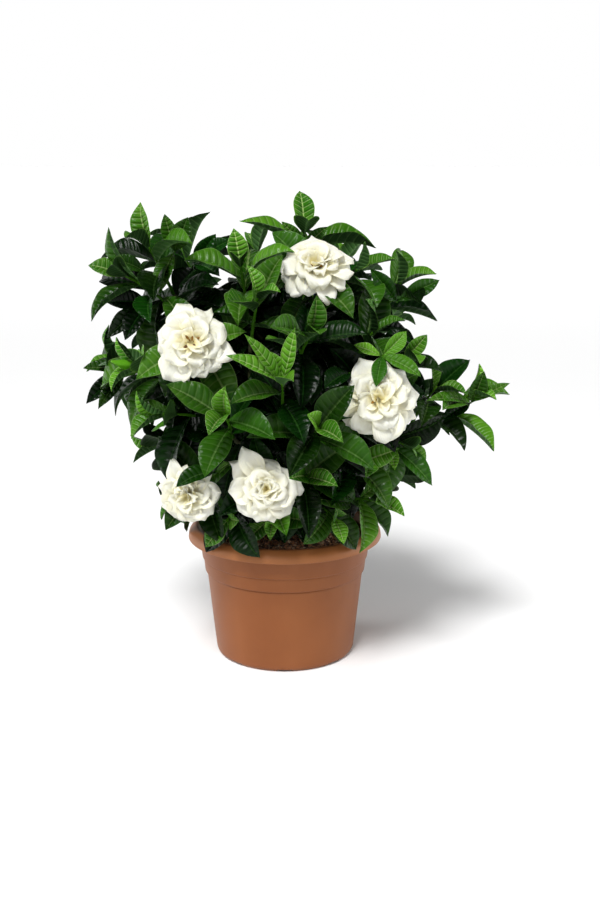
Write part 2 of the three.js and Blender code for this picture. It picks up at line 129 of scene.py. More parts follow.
class Sheaf:
    """Blocks of points, faces and point values that become one mesh object."""

    def __init__(self):
        self.points, self.quads, self.triangles, self.values = [], [], [], []
        self.count = 0

    def add(self, points, quads, triangles, **values):
        """Adds one closed surface. Each value is a number or one row of numbers for each point."""
        n = len(points)
        self.points.append(points)
        self.quads.append(quads + self.count)
        self.triangles.append(triangles + self.count)
        self.values.append({k: np.broadcast_to(np.asarray(v, float), (n, 3)) for k, v in values.items()})
        self.count += n

    def mesh(self, name, material, sharp):
        """The mesh object, in metres, with its values as point attributes. Its shading is smooth, but
        for edges of more than `sharp` degrees."""
        points = np.concatenate(self.points) * MM
        quads = np.concatenate(self.quads)
        triangles = np.concatenate(self.triangles)
        data = bpy.data.meshes.new(name)
        data.vertices.add(len(points))
        data.vertices.foreach_set("co", points.astype(np.float32).ravel())
        corners = np.concatenate([quads.ravel(), triangles.ravel()]).astype(np.int32)
        sizes = np.concatenate([np.full(len(quads), 4), np.full(len(triangles), 3)]).astype(np.int32)
        data.loops.add(len(corners))
        data.loops.foreach_set("vertex_index", corners)
        data.polygons.add(len(sizes))
        starts = np.concatenate([[0], np.cumsum(sizes)[:-1]]).astype(np.int32)
        data.polygons.foreach_set("loop_start", starts)
        data.polygons.foreach_set("loop_total", sizes)
        data.polygons.foreach_set("use_smooth", np.ones(len(sizes), bool))
        for key in self.values[0]:
            rows = np.concatenate([values[key] for values in self.values]).astype(np.float32)
            layer = data.attributes.new(key, "FLOAT_VECTOR", "POINT")
            layer.data.foreach_set("vector", rows.ravel())
        data.update(calc_edges=True)
        data.validate()
        data.set_sharp_from_angle(angle=np.radians(sharp))
        data.materials.append(material)
        made = bpy.data.objects.new(name, data)
        bpy.context.scene.collection.objects.link(made)
        return made


def tube_faces(rings, sides):
    """Faces of a closed tube whose points are: one foot point, `rings` rings of `sides` points, and
    one end point. Ring follows ring in quads, and each end is a fan of triangles."""
    i, j = np.meshgrid(np.arange(rings - 1), np.arange(sides), indexing="ij")
    k = (j + 1) % sides
    low, high = 1 + i * sides, 1 + (i + 1) * sides
    quads = np.stack([low + j, low + k, high + k, high + j], -1)
    j = np.arange(sides)
    k = (j + 1) % sides
    last = 1 + (rings - 1) * sides
    foot = np.stack([np.zeros_like(j), 1 + k, 1 + j], -1)
    end = np.stack([np.full_like(j, 1 + rings * sides), last + j, last + k], -1)
    return quads.reshape(-1, 4), np.concatenate([foot, end])


def tube(curve, radii, sides, stations, relief=None):
    """A round stem along a curve: at t the point at angle u is centre + radius(t) * (across * cos u +
    other * sin u). Radii are given at even steps and run smoothly between them."""
    t = np.linspace(0, 1, stations)
    radius = np.interp(t, np.linspace(0, 1, len(radii)), radii)[:, None]
    u = np.linspace(0, 2 * np.pi, sides, endpoint=False)[None, :]
    if relief is not None:
        radius = radius * (1 + relief(t[:, None], u))
    way = curve.way(t)
    first, _ = across(way[len(way) // 2])
    first = unit(first - (way @ first)[:, None] * way)
    second = np.cross(way, first)
    ring = (
        curve.at(t)[:, None]
        + (radius * np.cos(u))[..., None] * first[:, None]
        + (radius * np.sin(u))[..., None] * second[:, None]
    )
    points = np.concatenate([curve.at(0)[None], ring.reshape(-1, 3), curve.at(1)[None]])
    return points, *tube_faces(stations, sides)


# %% [markdown]
# ## Shader maths as Python
#
# A finish is easier to read as a sum than as a web of boxes. `Socket` wraps one output of a node, and
# adding, multiplying or comparing two of them adds the Math node that does it. Colours are mixed by
# one method, and any other node comes from `node`.

# %% A socket that can be added and multiplied


class Socket:
    """One value in a node tree."""

    def __init__(self, finish, socket):
        self.finish, self.socket = finish, socket

    def _math(self, operation, *others):
        return self.finish.node("ShaderNodeMath", {"operation": operation}, dict(enumerate(others)))

    def __add__(self, other):
        return self._math("ADD", self, other)

    __radd__ = __add__

    def __mul__(self, other):
        return self._math("MULTIPLY", self, other)

    __rmul__ = __mul__

    def __sub__(self, other):
        return self._math("SUBTRACT", self, other)

    def __rsub__(self, other):
        return self._math("SUBTRACT", other, self)

    def sin(self):
        return self._math("SINE", self)

    def abs(self):
        return self._math("ABSOLUTE", self)

    def fraction(self):
        return self._math("FRACT", self)

    def length(self):
        """How long a vector is."""
        return self.finish.node("ShaderNodeVectorMath", {"operation": "LENGTH"}, {0: self}, out=1)

    def up(self):
        """The third number of a vector."""
        return self.finish.node("ShaderNodeSeparateXYZ", {}, {0: self}, out=2)

    def step(self, low, high):
        """0 below `low` and 1 above `high`, and smooth between them. It falls if high < low."""
        turned = high < low
        low, high = min(low, high), max(low, high)
        made = self.finish.node(
            "ShaderNodeMapRange",
            {"interpolation_type": "SMOOTHSTEP"},
            {"Value": self, "From Min": low, "From Max": high},
        )
        return 1 - made if turned else made


class Finish:
    """The nodes of a new material, or of a world, under construction."""

    def __init__(self, name, owners=bpy.data.materials, shader="Principled BSDF"):
        self.owner = owners.new(name)
        self.owner.use_nodes = True
        self.tree = self.owner.node_tree
        self.shader = self.tree.nodes[shader]

    def put(self, node, key, value):
        """Links a Socket to an input of a node, or sets the input to a plain value."""
        target = node.inputs[key]
        if isinstance(value, Socket):
            self.tree.links.new(value.socket, target)
        elif target.type == "RGBA" and len(value) == 3:
            target.default_value = (*value, 1)
        else:
            target.default_value = value

    def node(self, kind, settings=None, sockets=None, out=0):
        """Any node: its type, then its settings, then the values or links of its sockets."""
        made = self.tree.nodes.new(kind)
        for key, value in (settings or {}).items():
            setattr(made, key, value)
        for key, value in (sockets or {}).items():
            self.put(made, key, value)
        return Socket(self, made.outputs[out])

    def mix(self, factor, a, b):
        """A colour between a and b. A Mix node has one set of sockets for each type of data, and those
        for colours are inputs 6 and 7 and output 2."""
        made = self.tree.nodes.new("ShaderNodeMix")
        made.data_type = "RGBA"
        for key, value in ((0, factor), (6, a), (7, b)):
            self.put(made, key, value)
        return Socket(self, made.outputs[2])

    def place(self):
        """The point's own place on the object, in metres."""
        return self.node("ShaderNodeTexCoord", out=3)

    def stretched(self, scale):
        """The same place with each axis scaled: a scale under 1 draws a pattern out along it."""
        return self.node("ShaderNodeMapping", {}, {"Vector": self.place(), "Scale": scale})

    def place_of_world(self):
        """The direction that a world shader looks in."""
        return self.node("ShaderNodeTexCoord", out=0)

    def values(self, name):
        """The three numbers of a point attribute."""
        vector = self.node("ShaderNodeAttribute", {"attribute_name": name}, out=1)
        split = self.tree.nodes.new("ShaderNodeSeparateXYZ")
        self.put(split, 0, vector)
        return [Socket(self, split.outputs[i]) for i in range(3)]

    def noise(self, scale, detail, vector=None):
        """Cloudy noise from 0 to 1, `scale` lumps to the metre, with `detail` layers of finer lumps."""
        sockets = {"Vector": vector or self.place(), "Scale": scale, "Detail": detail}
        return self.node("ShaderNodeTexNoise", {}, sockets)

    def bump(self, height, distance, strength):
        """Tilts the shading by a height, where a height of 1 stands `distance` metres proud."""
        sockets = {"Height": height, "Distance": distance, "Strength": strength}
        normal = self.node("ShaderNodeBump", {}, sockets)
        self.put(self.shader, "Normal", normal)

    def done(self, **sockets):
        """Sets the shader's own sockets, written with underscores for spaces, and returns the material
        or the world."""
        for key, value in sockets.items():
            self.put(self.shader, key.replace("_", " "), value)
        return self.owner


print("shader tools ready")

# %% [markdown]
# ## The light and the camera
#
# The plant stands on a plain pale floor in a white studio. The key is a soft sun from the upper left
# of the front, a broad round lamp fills in from the front, and a tall lamp on each side draws light
# edges on pot and leaves. Leaves are shiny, so what they mirror matters as much as what lights them:
# the studio is white near the horizon, which is the backdrop, and dim above, which keeps them deep.

# %% Floor, backdrop and lights
scene = bpy.context.scene
scene.view_settings.view_transform = "Standard"
scene.view_settings.look = "None"


def aim(made, towards):
    """Turns a lamp, which shines along its own -Z, to shine along a direction."""
    level = np.hypot(towards[0], towards[1])
    made.rotation_euler = (np.arctan2(level, -towards[2]), 0, np.arctan2(towards[1], towards[0]) - np.pi / 2)


def lamp(name, kind, energy, place, towards, **settings):
    """A lamp of one of Blender's kinds at a place, shining along a direction."""
    data = bpy.data.lights.new(name, kind)
    data.energy = energy
    for key, value in settings.items():
        setattr(data, key, value)
    made = bpy.data.objects.new(name, data)
    made.location = place
    aim(made, np.array(towards, float))
    scene.collection.objects.link(made)


lamp("key", "SUN", 3.4, (-1.5, -1.5, 2.5), (0.24, 0.70, -1.0), angle=np.radians(18))
lamp("front", "AREA", 5, (-0.5, -1.7, 1.1), (0.3, 1, -0.5), shape="DISK", size=1.0)
lamp("rim_left", "AREA", 9, (-1.3, 0.2, 0.5), (1, -0.15, -0.2), shape="RECTANGLE", size=0.5, size_y=1.2)
lamp("rim_right", "AREA", 7, (1.3, 0.1, 0.5), (-1, -0.1, -0.2), shape="RECTANGLE", size=0.5, size_y=1.2)


def studio_world():
    """White all round near the horizon, where the backdrop is, and dim above: what lights the object
    from over there is the key."""
    sky = Finish("studio", bpy.data.worlds, "Background")
    height = sky.place_of_world().up().step(0.16, 0.42)
    return sky.done(Color=sky.mix(height, (1.0, 1.0, 1.0), (0.12, 0.12, 0.12)))


scene.world = studio_world()

floor_half = 30.0
floor_data = bpy.data.meshes.new("floor")
floor_corners = [(floor_half * x, floor_half * y, 0) for x, y in ((-1, -1), (1, -1), (1, 1), (-1, 1))]
floor_data.from_pydata(floor_corners, [], [(0, 1, 2, 3)])
floor = bpy.data.objects.new("floor", floor_data)
scene.collection.objects.link(floor)
floor_finish = Finish("pale_floor")
far = floor_finish.place().length().step(0.8, 4.0)
floor_tone = floor_finish.mix(far, (0.86, 0.86, 0.86), (0.97, 0.97, 0.97))
floor_data.materials.append(floor_finish.done(Base_Color=floor_tone, Roughness=1.0, Specular_IOR_Level=0.0))

# %% Camera
# Focal length in pixels of a frame FRAME_HEIGHT pixels tall, the sensor in mm, the camera's place in
# metres, and how far it looks down in radians
FOCAL_PIXELS = 1266.9
FRAME_HEIGHT = 900
SENSOR = 36.0
CAMERA_PLACE = (0.0150, -1.2, 0.4919)
CAMERA_DIP = 0.2361

camera_data = bpy.data.cameras.new("camera")
camera_data.sensor_width = SENSOR
camera_data.lens = FOCAL_PIXELS / FRAME_HEIGHT * SENSOR
camera = bpy.data.objects.new("camera", camera_data)
camera.location = CAMERA_PLACE
camera.rotation_euler = (np.pi / 2 - CAMERA_DIP, 0, 0)
scene.collection.objects.link(camera)
scene.camera = camera
print("camera lens", round(camera_data.lens, 1), "mm")


def dress(piece, slot, *nodes):
    """Every finished piece stands still with the object and hides its solids."""
    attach(piece, "root")
    if nodes:
        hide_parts(*nodes)
    print(piece.name, len(piece.data.polygons), "faces")


# %% [markdown]
# ## The pot
#
# The pot is injection-moulded plastic. A mould leaves no sharp corner, so the profile is the outline
# of the wall with each corner rounded by a small curve, turned about the pot's axis. Eight shallow
# drain notches lift the foot's edge.

# %% The pot's surface
# Corners of the wall's outline: distance from the axis, height, and how far back each is rounded
POT_PROFILE = [
    (0, 0, 0), (40, 0, 1), (58.4, 0, 0.2), (59.0, 0, 0.2), (65.4, 0, 1.4), (68.4, 3, 3),
    (76.9, 82.4, 0.3), (76.5, 83.5, 0.3), (76.7, 84.2, 0.2), (79.0, 84.8, 0.5),
    (80.2, 96.0, 0.3), (80.0, 97.1, 0.3), (80.2, 97.8, 0.2), (81.6, 98.4, 0.5),
    (84.0, 119, 3), (86.4, 125.9, 2),
    (89.6, 125.6, 2), (92.6, 117.6, 0.8), (95, 117.6, 1.0), (94.2, 124.2, 3.4), (87.8, 130, 2.6),
    (82.8, 128.4, 2.5), (78.6, 119, 4), (73.4, 83.8, 4), (65.0, 3.6, 1), (0, 3.6, 0),
]  # fmt: skip
POT_SIDES = 160
DRAIN_COUNT = 8
DRAIN_HALF_WIDTH = 7.0
DRAIN_HEIGHT = 2.4
# The heights, in metres, between which the wall's tone turns into the rim's paler one, a painted light
PAINTED_RIM_LIGHT_STARTS = (0.114, 0.120)


def rounded(profile, steps):
    """Each corner (r, z, radius) of a profile swapped for a quadratic curve that starts and ends
    `radius` away from it along its two sides, or 0.45 of a side where the side is short. The ends
    stay."""
    p = np.asarray(profile, float)[:, :2]
    radius = np.asarray(profile, float)[1:-1, 2:]
    before, corner, after = p[:-2], p[1:-1], p[2:]
    back, on = before - corner, after - corner
    back_length, on_length = (np.linalg.norm(v, axis=1, keepdims=True) for v in (back, on))
    a = corner + back / back_length * np.minimum(radius, 0.45 * back_length)
    c = corner + on / on_length * np.minimum(radius, 0.45 * on_length)
    t = np.linspace(0, 1, steps)[None, :, None]
    curve = (1 - t) ** 2 * a[:, None] + 2 * (1 - t) * t * corner[:, None] + t**2 * c[:, None]
    return np.concatenate([p[:1], curve.reshape(-1, 2), p[-1:]])


def turned(profile, sides):
    """A surface of revolution: profile point (r, z) at angle u is (r cos u, r sin u, z). The first and
    last profile points lie on the axis."""
    u = np.linspace(0, 2 * np.pi, sides, endpoint=False)
    r, z = profile[1:-1, 0][:, None], profile[1:-1, 1][:, None]
    ring = np.stack([r * np.cos(u), r * np.sin(u), z + 0 * u], -1).reshape(-1, 3)
    points = np.concatenate([[[0, 0, profile[0, 1]]], ring, [[0, 0, profile[-1, 1]]]])
    return points, *tube_faces(len(r), sides)


def pot_surface():
    """The turned profile with its foot raised over each drain notch: there, no point more than 59 mm
    from the axis is lower than DRAIN_HEIGHT. The notch's sides slope, from half a millimetre inside
    DRAIN_HALF_WIDTH to one outside it."""
    points, quads, triangles = turned(rounded(POT_PROFILE, 5), POT_SIDES)
    r = np.hypot(points[:, 0], points[:, 1])
    step = 2 * np.pi / DRAIN_COUNT
    angle = np.arctan2(points[:, 1], points[:, 0]) + np.pi / 2
    aside = np.abs((angle + step / 2) % step - step / 2) * r
    gate = np.clip((DRAIN_HALF_WIDTH + 1 - aside) / 1.5, 0, 1) * np.clip((r - 58.7) / 0.2, 0, 1)
    points[:, 2] = np.maximum(points[:, 2], DRAIN_HEIGHT * gate)
    return points, quads, triangles


# %% [markdown]
# Plastic of this kind is coloured right through. Its surface is satin, with a very fine grain from
# the mould, faint clouds and upright streaks of tone. The rim is painted paler: a painted light.

# %% The pot's finish
def terracotta_plastic():
    """Warm brown with faint clouds, fine grain and soft sheen, and a painted light that makes the rim a
    little paler. The streaks are noise drawn out along the pot's height."""
    f = Finish("terracotta_plastic")
    cloud = f.noise(14, 4)
    streak = f.noise(30, 3, f.stretched((1, 1, 0.12)))
    tone = f.mix(cloud.step(0.3, 0.75), (0.196, 0.058, 0.0128), (0.229, 0.072, 0.018))
    tone = f.mix(streak.step(0.45, 0.8) * 0.35, tone, (0.262, 0.089, 0.0255))
    # painted light: above these heights the rim is painted paler than the wall
    tone = f.mix(f.place().up().step(*PAINTED_RIM_LIGHT_STARTS), tone, (0.31, 0.112, 0.034))
    grain = f.noise(2600, 2)
    f.bump(grain + 0.5 * f.noise(260, 2), 0.00012, 0.35)
    return f.done(Base_Color=tone, Roughness=0.40 + 0.12 * cloud, Specular_IOR_Level=0.3)


pot_sheaf = Sheaf()
pot_sheaf.add(*pot_surface())
pot = pot_sheaf.mesh("plant_pot", terracotta_plastic(), sharp=60)
dress(pot, "pot", "pot")

# %% [markdown]
# ## The soil
#
# Potting soil is composted bark: a lumpy ground with loose crumbs and chips on it. The ground is one
# closed disc whose top is a sum of sine ripples of four sizes, and the chips are short uneven lumps
# strewn over it, each from the same small formula with its own size and turn.

# %% The soil's surface
SOIL_TOP = 121.0
SOIL_EDGE = 77.4


def soil_height(x, y):
    """Height of the ground in mm: a low heap round the stem plus ripples of four sizes."""
    r = np.hypot(x, y)
    h = SOIL_TOP + (77 - r) * 0.04
    for k, (wave, tall) in enumerate([(31, 0.9), (13, 0.7), (6.1, 0.6), (3.2, 0.45)]):
        turn = 1.3 * k
        u = (x * np.cos(turn) + y * np.sin(turn)) * 2 * np.pi / wave
        v = (y * np.cos(turn) - x * np.sin(turn)) * 2 * np.pi / wave
        h = h + tall * np.sin(u + 1.7 * np.sin(v + k)) * np.sin(v + 1.1 * np.sin(u - k))
    return h


def soil_surface():
    """A turned shape whose wall follows the pot and whose top is the ground's height."""
    top = np.linspace(SOIL_EDGE, 3, 56)
    rings = [(0, 4.4), (63.4, 4.4), (71.9, 83.8), (77.2, 117.5), *[(r, 500) for r in top], (0, 500)]
    points, quads, triangles = turned(np.array(rings, float), 180)
    high = points[:, 2] > 400
    points[high, 2] = soil_height(points[high, 0], points[high, 1])
    return points, quads, triangles


CHIP_RINGS, CHIP_SIDES, CHIPS = 3, 6, 620


def chip(k):
    """A crumb of bark: a lump of three six-sided rings, longer than thick, with every point pushed in
    or out a little, turned and dropped on the ground."""
    t = np.linspace(0.18, 0.82, CHIP_RINGS)[:, None]
    u = np.linspace(0, 2 * np.pi, CHIP_SIDES, endpoint=False)[None, :]
    i, j = np.meshgrid(np.arange(CHIP_RINGS), np.arange(CHIP_SIDES), indexing="ij")
    swell = np.sin(np.pi * t) ** 0.5 * (1 + 0.35 * spread(k, i, j))
    large = chance(k, 1, 1) ** 3
    length, wide, thick = 2.4 + 7 * large, 1.3 + 2.6 * large * chance(k, 2, 1) + 0.6, 0.9 + 1.1 * large
    x = (t - 0.5) * length * (1 + 0.1 * spread(k, i, j + 9))
    ring = np.stack([x + 0 * u, swell * wide * np.cos(u), swell * thick * np.sin(u)], -1).reshape(-1, 3)
    lump = np.concatenate([[[-length / 2, 0, 0]], ring, [[length / 2, 0, 0]]])
    turn, tip = 2 * np.pi * chance(k, 3, 1), 0.5 * spread(k, 4, 1)
    c, s = np.cos(tip), np.sin(tip)
    lump = lump @ np.array([[c, 0, s], [0, 1, 0], [-s, 0, c]])
    c, s = np.cos(turn), np.sin(turn)
    lump = lump @ np.array([[c, s, 0], [-s, c, 0], [0, 0, 1]])
    r = 11 + (73 - 11) * chance(k, 5, 1) ** 0.55
    a = 2 * np.pi * chance(k, 6, 1)
    x, y = r * np.cos(a), r * np.sin(a)
    return lump + [x, y, soil_height(x, y) + 0.3 * thick]


# %% The soil's finish
def bark_compost():
    """Dark brown crumbs with redder and paler ones among them, and no shine."""
    f = Finish("bark_compost")
    cell = f.node("ShaderNodeTexVoronoi", {}, {"Vector": f.place(), "Scale": 420.0}, out=1)
    kind = f.node("ShaderNodeSeparateColor", {}, {0: cell})
    tone = f.mix(kind.step(0.15, 0.8), (0.08, 0.03, 0.014), (0.62, 0.29, 0.14))
    tone = f.mix(kind.step(0.84, 0.92), tone, (0.85, 0.62, 0.42))
    tone = f.mix(f.noise(900, 3) * 0.45, tone, (0.018, 0.008, 0.005))
    f.bump(f.noise(1400, 4) + kind * 0.4, 0.0006, 0.8)
    return f.done(Base_Color=tone, Roughness=0.92)


compost = bark_compost()
soil_sheaf = Sheaf()
soil_sheaf.add(*soil_surface())
chip_faces = tube_faces(CHIP_RINGS, CHIP_SIDES)
for number in range(CHIPS):
    soil_sheaf.add(chip(number), *chip_faces)
dress(soil_sheaf.mesh("potting_soil", compost, sharp=50), "soil", "soil")

# %% [markdown]
# ## The woody frame
#
# One stem comes out of the soil and forks into limbs, and each limb into twigs. All of them are tubes
# along curves with bark on them. The plan below is the plant's own: where the limbs end, and for
# every leafy shoot its growing tip, the way it points, its pairs of leaves and their length.

# %% The plan of the plant
LIMB_ENDS = [(-78, -22, 262), (-26, -72, 250), (82, -28, 252), (-14, 78, 258), (8, -6, 300)]
# tip, aim, pairs of leaves, leaf length, and what else the shoot has
SHOOTS = [
    ((27, -62, 378), (0.05, -0.75, 0.6), 2, 61, {"bloom": 0}),
    ((-76, -112, 324), (-0.08, -0.95, 0.22), 3, 64, {"bloom": 1}),
    ((80, -102, 274), (0.18, -0.93, 0.2), 3, 61, {"bloom": 2}),
    ((-15, -121, 198), (0.05, -0.95, 0.22), 2, 59, {"bloom": 3}),
    ((-80, -100, 190), (-0.25, -0.9, -0.05), 2, 59, {"bloom": 4}),
    # front, from the top down
    ((19, -12, 412), (0.08, -0.35, 0.94), 3, 70, {"spin": 90, "open": 18}),
    ((-121, -42, 400), (-0.4, -0.4, 0.8), 3, 66, {"spin": 70}),
    ((-38, -58, 385), (-0.1, -0.55, 0.85), 3, 66, {}),
    ((-138, -68, 378), (-0.75, -0.5, 0.5), 3, 66, {}),
    ((66, -32, 380), (0.6, -0.4, 0.7), 3, 59, {}),
    ((-22, -104, 362), (0.15, -0.6, 0.8), 3, 55, {}),
    ((108, -14, 366), (0.5, -0.4, 0.78), 3, 59, {}),
    ((24, -120, 334), (0.3, -0.7, 0.65), 3, 59, {}),
    ((80, -60, 326), (0.45, -0.5, 0.75), 3, 64, {}),
    ((-130, -78, 298), (-0.8, -0.55, 0.3), 3, 64, {"bud": True}),
    ((0, -142, 294), (0, -0.75, 0.65), 3, 61, {}),
    ((110, -56, 302), (0.6, -0.55, 0.6), 3, 55, {}),
    ((140, -38, 270), (0.4, -0.55, 0.72), 3, 58, {"spin": 75, "bare": True}),
    ((173, -26, 262), (0.55, -0.5, 0.65), 3, 56, {"spin": 95, "bare": True}),
    ((-49, -142, 268), (-0.1, -0.85, 0.5), 3, 61, {}),
    ((30, -142, 256), (0.1, -0.9, 0.4), 3, 59, {}),
    ((-106, -90, 258), (-0.75, -0.6, 0.1), 3, 64, {}),
    ((108, -66, 226), (0.75, -0.55, -0.25), 3, 59, {}),
    ((70, -92, 214), (0.5, -0.8, 0.25), 3, 59, {}),
    ((20, -120, 208), (0.2, -0.9, 0.3), 3, 64, {}),
    ((80, -66, 172), (0.72, -0.62, 0.1), 3, 57, {}),
    ((46, -90, 162), (0.3, -0.9, -0.1), 3, 50, {}),
    ((-50, -88, 160), (-0.4, -0.85, -0.2), 3, 61, {}),
    ((-10, -92, 160), (-0.1, -0.95, -0.05), 2, 46, {}),
    # sides and back
    ((-152, -6, 292), (-0.9, -0.2, 0.35), 3, 66, {}),
    ((-100, 44, 394), (-0.4, 0.35, 0.85), 3, 66, {}),
    ((-28, 66, 386), (-0.05, 0.45, 0.9), 3, 64, {}),
    ((54, 62, 374), (0.3, 0.4, 0.85), 3, 64, {}),
    ((98, 68, 322), (0.6, 0.5, 0.65), 3, 64, {}),
    ((-138, 66, 274), (-0.8, 0.4, 0.35), 3, 66, {}),
    ((-84, 112, 334), (-0.45, 0.75, 0.45), 3, 66, {}),
    ((4, 132, 344), (0.05, 0.85, 0.5), 3, 66, {}),
    ((77, 117, 288), (0.5, 0.8, 0.3), 3, 66, {}),
    ((122, 30, 246), (0.8, 0.3, 0.45), 3, 61, {}),
    ((-92, 104, 212), (-0.6, 0.75, 0.1), 3, 64, {}),
    ((-16, 136, 256), (-0.1, 0.9, 0.35), 3, 66, {}),
    ((76, 102, 198), (0.55, 0.8, 0.15), 3, 61, {}),
    ((-118, 6, 208), (-0.95, 0, -0.15), 3, 64, {}),
    ((-6, 98, 170), (-0.05, 0.95, -0.1), 3, 59, {}),
    ((-98, -34, 168), (-0.9, -0.35, -0.1), 3, 58, {}),
    ((104, 26, 172), (0.9, 0.3, -0.1), 3, 58, {}),
    ((-66, 78, 160), (-0.65, 0.75, -0.05), 3, 58, {}),
    ((54, 84, 158), (0.5, 0.85, -0.1), 3, 58, {}),
]
SHOOT_LENGTH = 46
JOINT_GAP = 0.35
TRUNK_FORK = 148


def shoot_curve(tip, aim):
    """A shoot leaves its twig a little below its aim and straightens towards the tip."""
    end, way = np.array(tip, float), unit(aim)
    return Bend(end - SHOOT_LENGTH * way - [0, 0, 5], end - 0.5 * SHOOT_LENGTH * way, end)


def twig_curve(shoot, limbs):
    """A twig leaves the point of a limb that is nearest to a spot below the shoot, and ends just
    short of the shoot, heading the same way."""
    way = shoot.way(0)
    end = shoot.at(0) - JOINT_GAP * way
    below = end - 22 * way - [0, 0, 26]
    forks = np.concatenate([limb.at(np.arange(3, 25) / 24) for limb in limbs])
    fork = forks[np.argmin(np.linalg.norm(forks - below, axis=1))]
    return Bend(fork, end - 0.45 * np.linalg.norm(fork - end) * way, end)


trunk_curve = Bend((0, 0, 88), (0, 0, 118), (2, -1, TRUNK_FORK))
limb_curves = [
    Bend((0, 0, TRUNK_FORK - 8), (0.3 * x, 0.3 * y, TRUNK_FORK + 0.55 * (z - TRUNK_FORK)), (x, y, z))
    for x, y, z in LIMB_ENDS
]
shoot_curves = [shoot_curve(tip, aim) for tip, aim, *_ in SHOOTS]
twig_curves = [twig_curve(curve, limb_curves) for curve in shoot_curves]
print(len(SHOOTS), "shoots on", len(limb_curves), "limbs")


# %% Bark, in shape and in finish
def bark_relief(t, u):
    """Long ridges that wander round the stem, as a share of its radius."""
    return 0.06 * np.sin(5 * u + 2 * np.sin(8 * t)) + 0.035 * np.sin(11 * u - 9 * t)


def twig_relief(t, u):
    """Two low swellings where old leaves stood."""
    return 0.12 * np.exp(-(((t - 0.45) / 0.03) ** 2)) + 0.12 * np.exp(-(((t - 0.75) / 0.03) ** 2)) + 0 * u


def gardenia_bark():
    """Grey-brown bark with pale streaks, that turns to green on the youngest wood."""
    f = Finish("gardenia_bark")
    age, _, _ = f.values("wood")
    streak = f.noise(150, 4, f.stretched((1, 1, 0.25)))
    tone = f.mix(streak.step(0.35, 0.7), (0.030, 0.018, 0.011), (0.10, 0.070, 0.045))
    tone = f.mix(age.step(0.5, 1.0) * 0.75, tone, (0.07, 0.10, 0.025))
    f.bump(streak + 0.4 * f.noise(900, 3), 0.0009, 0.7)
    return f.done(Base_Color=tone, Roughness=0.8)


wood_sheaf = Sheaf()
wood_sheaf.add(*tube(trunk_curve, [10.5, 9.0, 8.2, 7.8], 20, 24, bark_relief), wood=(0, 0, 0))
for curve in limb_curves:
    wood_sheaf.add(*tube(curve, [6.2, 5.2, 4.4, 3.9, 3.5], 14, 26, bark_relief), wood=(0.35, 0, 0))
for curve in twig_curves:
    wood_sheaf.add(*tube(curve, [2.9, 2.3, 2.1, 1.95, 1.9], 9, 18, twig_relief), wood=(0.85, 0, 0))
dress(wood_sheaf.mesh("branches", gardenia_bark(), sharp=60), "bark", "woody_stems")

# %% [markdown]
# ## A leaf as a formula
#
# A gardenia leaf is a thin glossy blade on a short stalk. Its midrib bends back on an arc, its two
# halves rise from the midrib, and it is quilted: the side veins are sunk and the green between them
# puffs up. The grid of points is laid along those veins, so that each vein is one row of points and
# the puffs need few more. The same formula, with other numbers, gives every leaf.

# %% Where each leaf grows
LEAF_WIDEST = 0.53
LEAF_TAPER = 1.3
# Pairs of leaves from the tip down: place on the stem, lean, size and curl
PAIRS = [(0.97, 22, 0.62, 26), (0.72, 46, 0.92, 30), (0.4, 61, 1.0, 34), (0.1, 74, 0.96, 36)]
# What a leaf may add to its turn and its lean, and multiply its size by
BENDS = [
    (0, 0, 1), (15, 0, 1), (-15, 0, 1), (0, -15, 1), (0, 14, 1), (26, -10, 1), (-26, -10, 1),
    (22, 15, 0.92), (-22, 15, 0.92), (0, -28, 0.92), (38, 0, 0.88), (-38, 0, 0.88), (0, 28, 0.85),
    (0, 0, 0.75), (30, -14, 0.75), (-30, -14, 0.75),
]  # fmt: skip
# How near a corner of a solid has to be to a leaf's tip, in mm, for the solid to have that leaf
TIP_MISS = 0.25


def leaf_profile(t):
    """Half-width along the leaf as a share of the greatest: a power of t times a power of 1 - t."""
    rise = (t / LEAF_WIDEST) ** LEAF_TAPER
    return rise * ((1 - t) / (1 - LEAF_WIDEST)) ** (LEAF_TAPER * (1 / LEAF_WIDEST - 1))


def first_turn(s):
    """The angle of a shoot's first pair of leaves round its stem."""
    return np.radians(SHOOTS[s][4].get("spin", 180 * chance(s, 0, 9)))


def leaf_form(curve, at, keys, turn, lean, length, curl):
    """One leaf on a stem: its root, the way it grows, the normal of its upper face and its sizes.
    `turn` is its angle round the stem and `lean` its angle from the stem's own direction. The blade
    twists on its stalk, so that its face turns part of the way to the light."""
    s, w, k = keys
    axis = curve.way(at)
    u, v = across(axis)
    radial = np.cos(turn) * u + np.sin(turn) * v
    along = np.cos(lean) * axis + np.sin(lean) * radial
    up = np.sin(lean) * axis - np.cos(lean) * radial + 0.45 * UP
    up = unit(up - (up @ along) * along)
    return {
        "root": curve.at(at),
        "along": along,
        "up": up,
        "length": length,
        "half": length * (0.27 + 0.03 * spread(s, w, k + 30)),
        "curl": np.radians(curl + 16 * spread(s, w, k + 40)),
        "cup": np.radians(33 + 12 * spread(s, w, k + 50)),
        "hook": 0.09 * length * chance(s, w, k + 55),
        "roll": 0.0,
        "wave": 0.02 * length,
        "phase": 6.28 * chance(s, w, k + 60),
    }


def shoot_leaf(s, w, k, bend):
    """Leaf k of pair w on shoot s, turned, leaned and sized by one of BENDS."""
    turn_by, lean_by, size_by = bend
    at, lean, size, curl = PAIRS[w]
    turn = first_turn(s) + np.radians(90 * w + 180 * k + 12 * spread(s, w, k) + turn_by)
    opened = SHOOTS[s][4].get("open", 0) if w else 0
    away = np.radians(lean + opened + lean_by + 10 * spread(s, w, k + 10))
    length = SHOOTS[s][3] * size * size_by * (1 + 0.1 * spread(s, w, k + 20))
    return leaf_form(shoot_curves[s], at, (s, w, k), turn, away, length, curl)


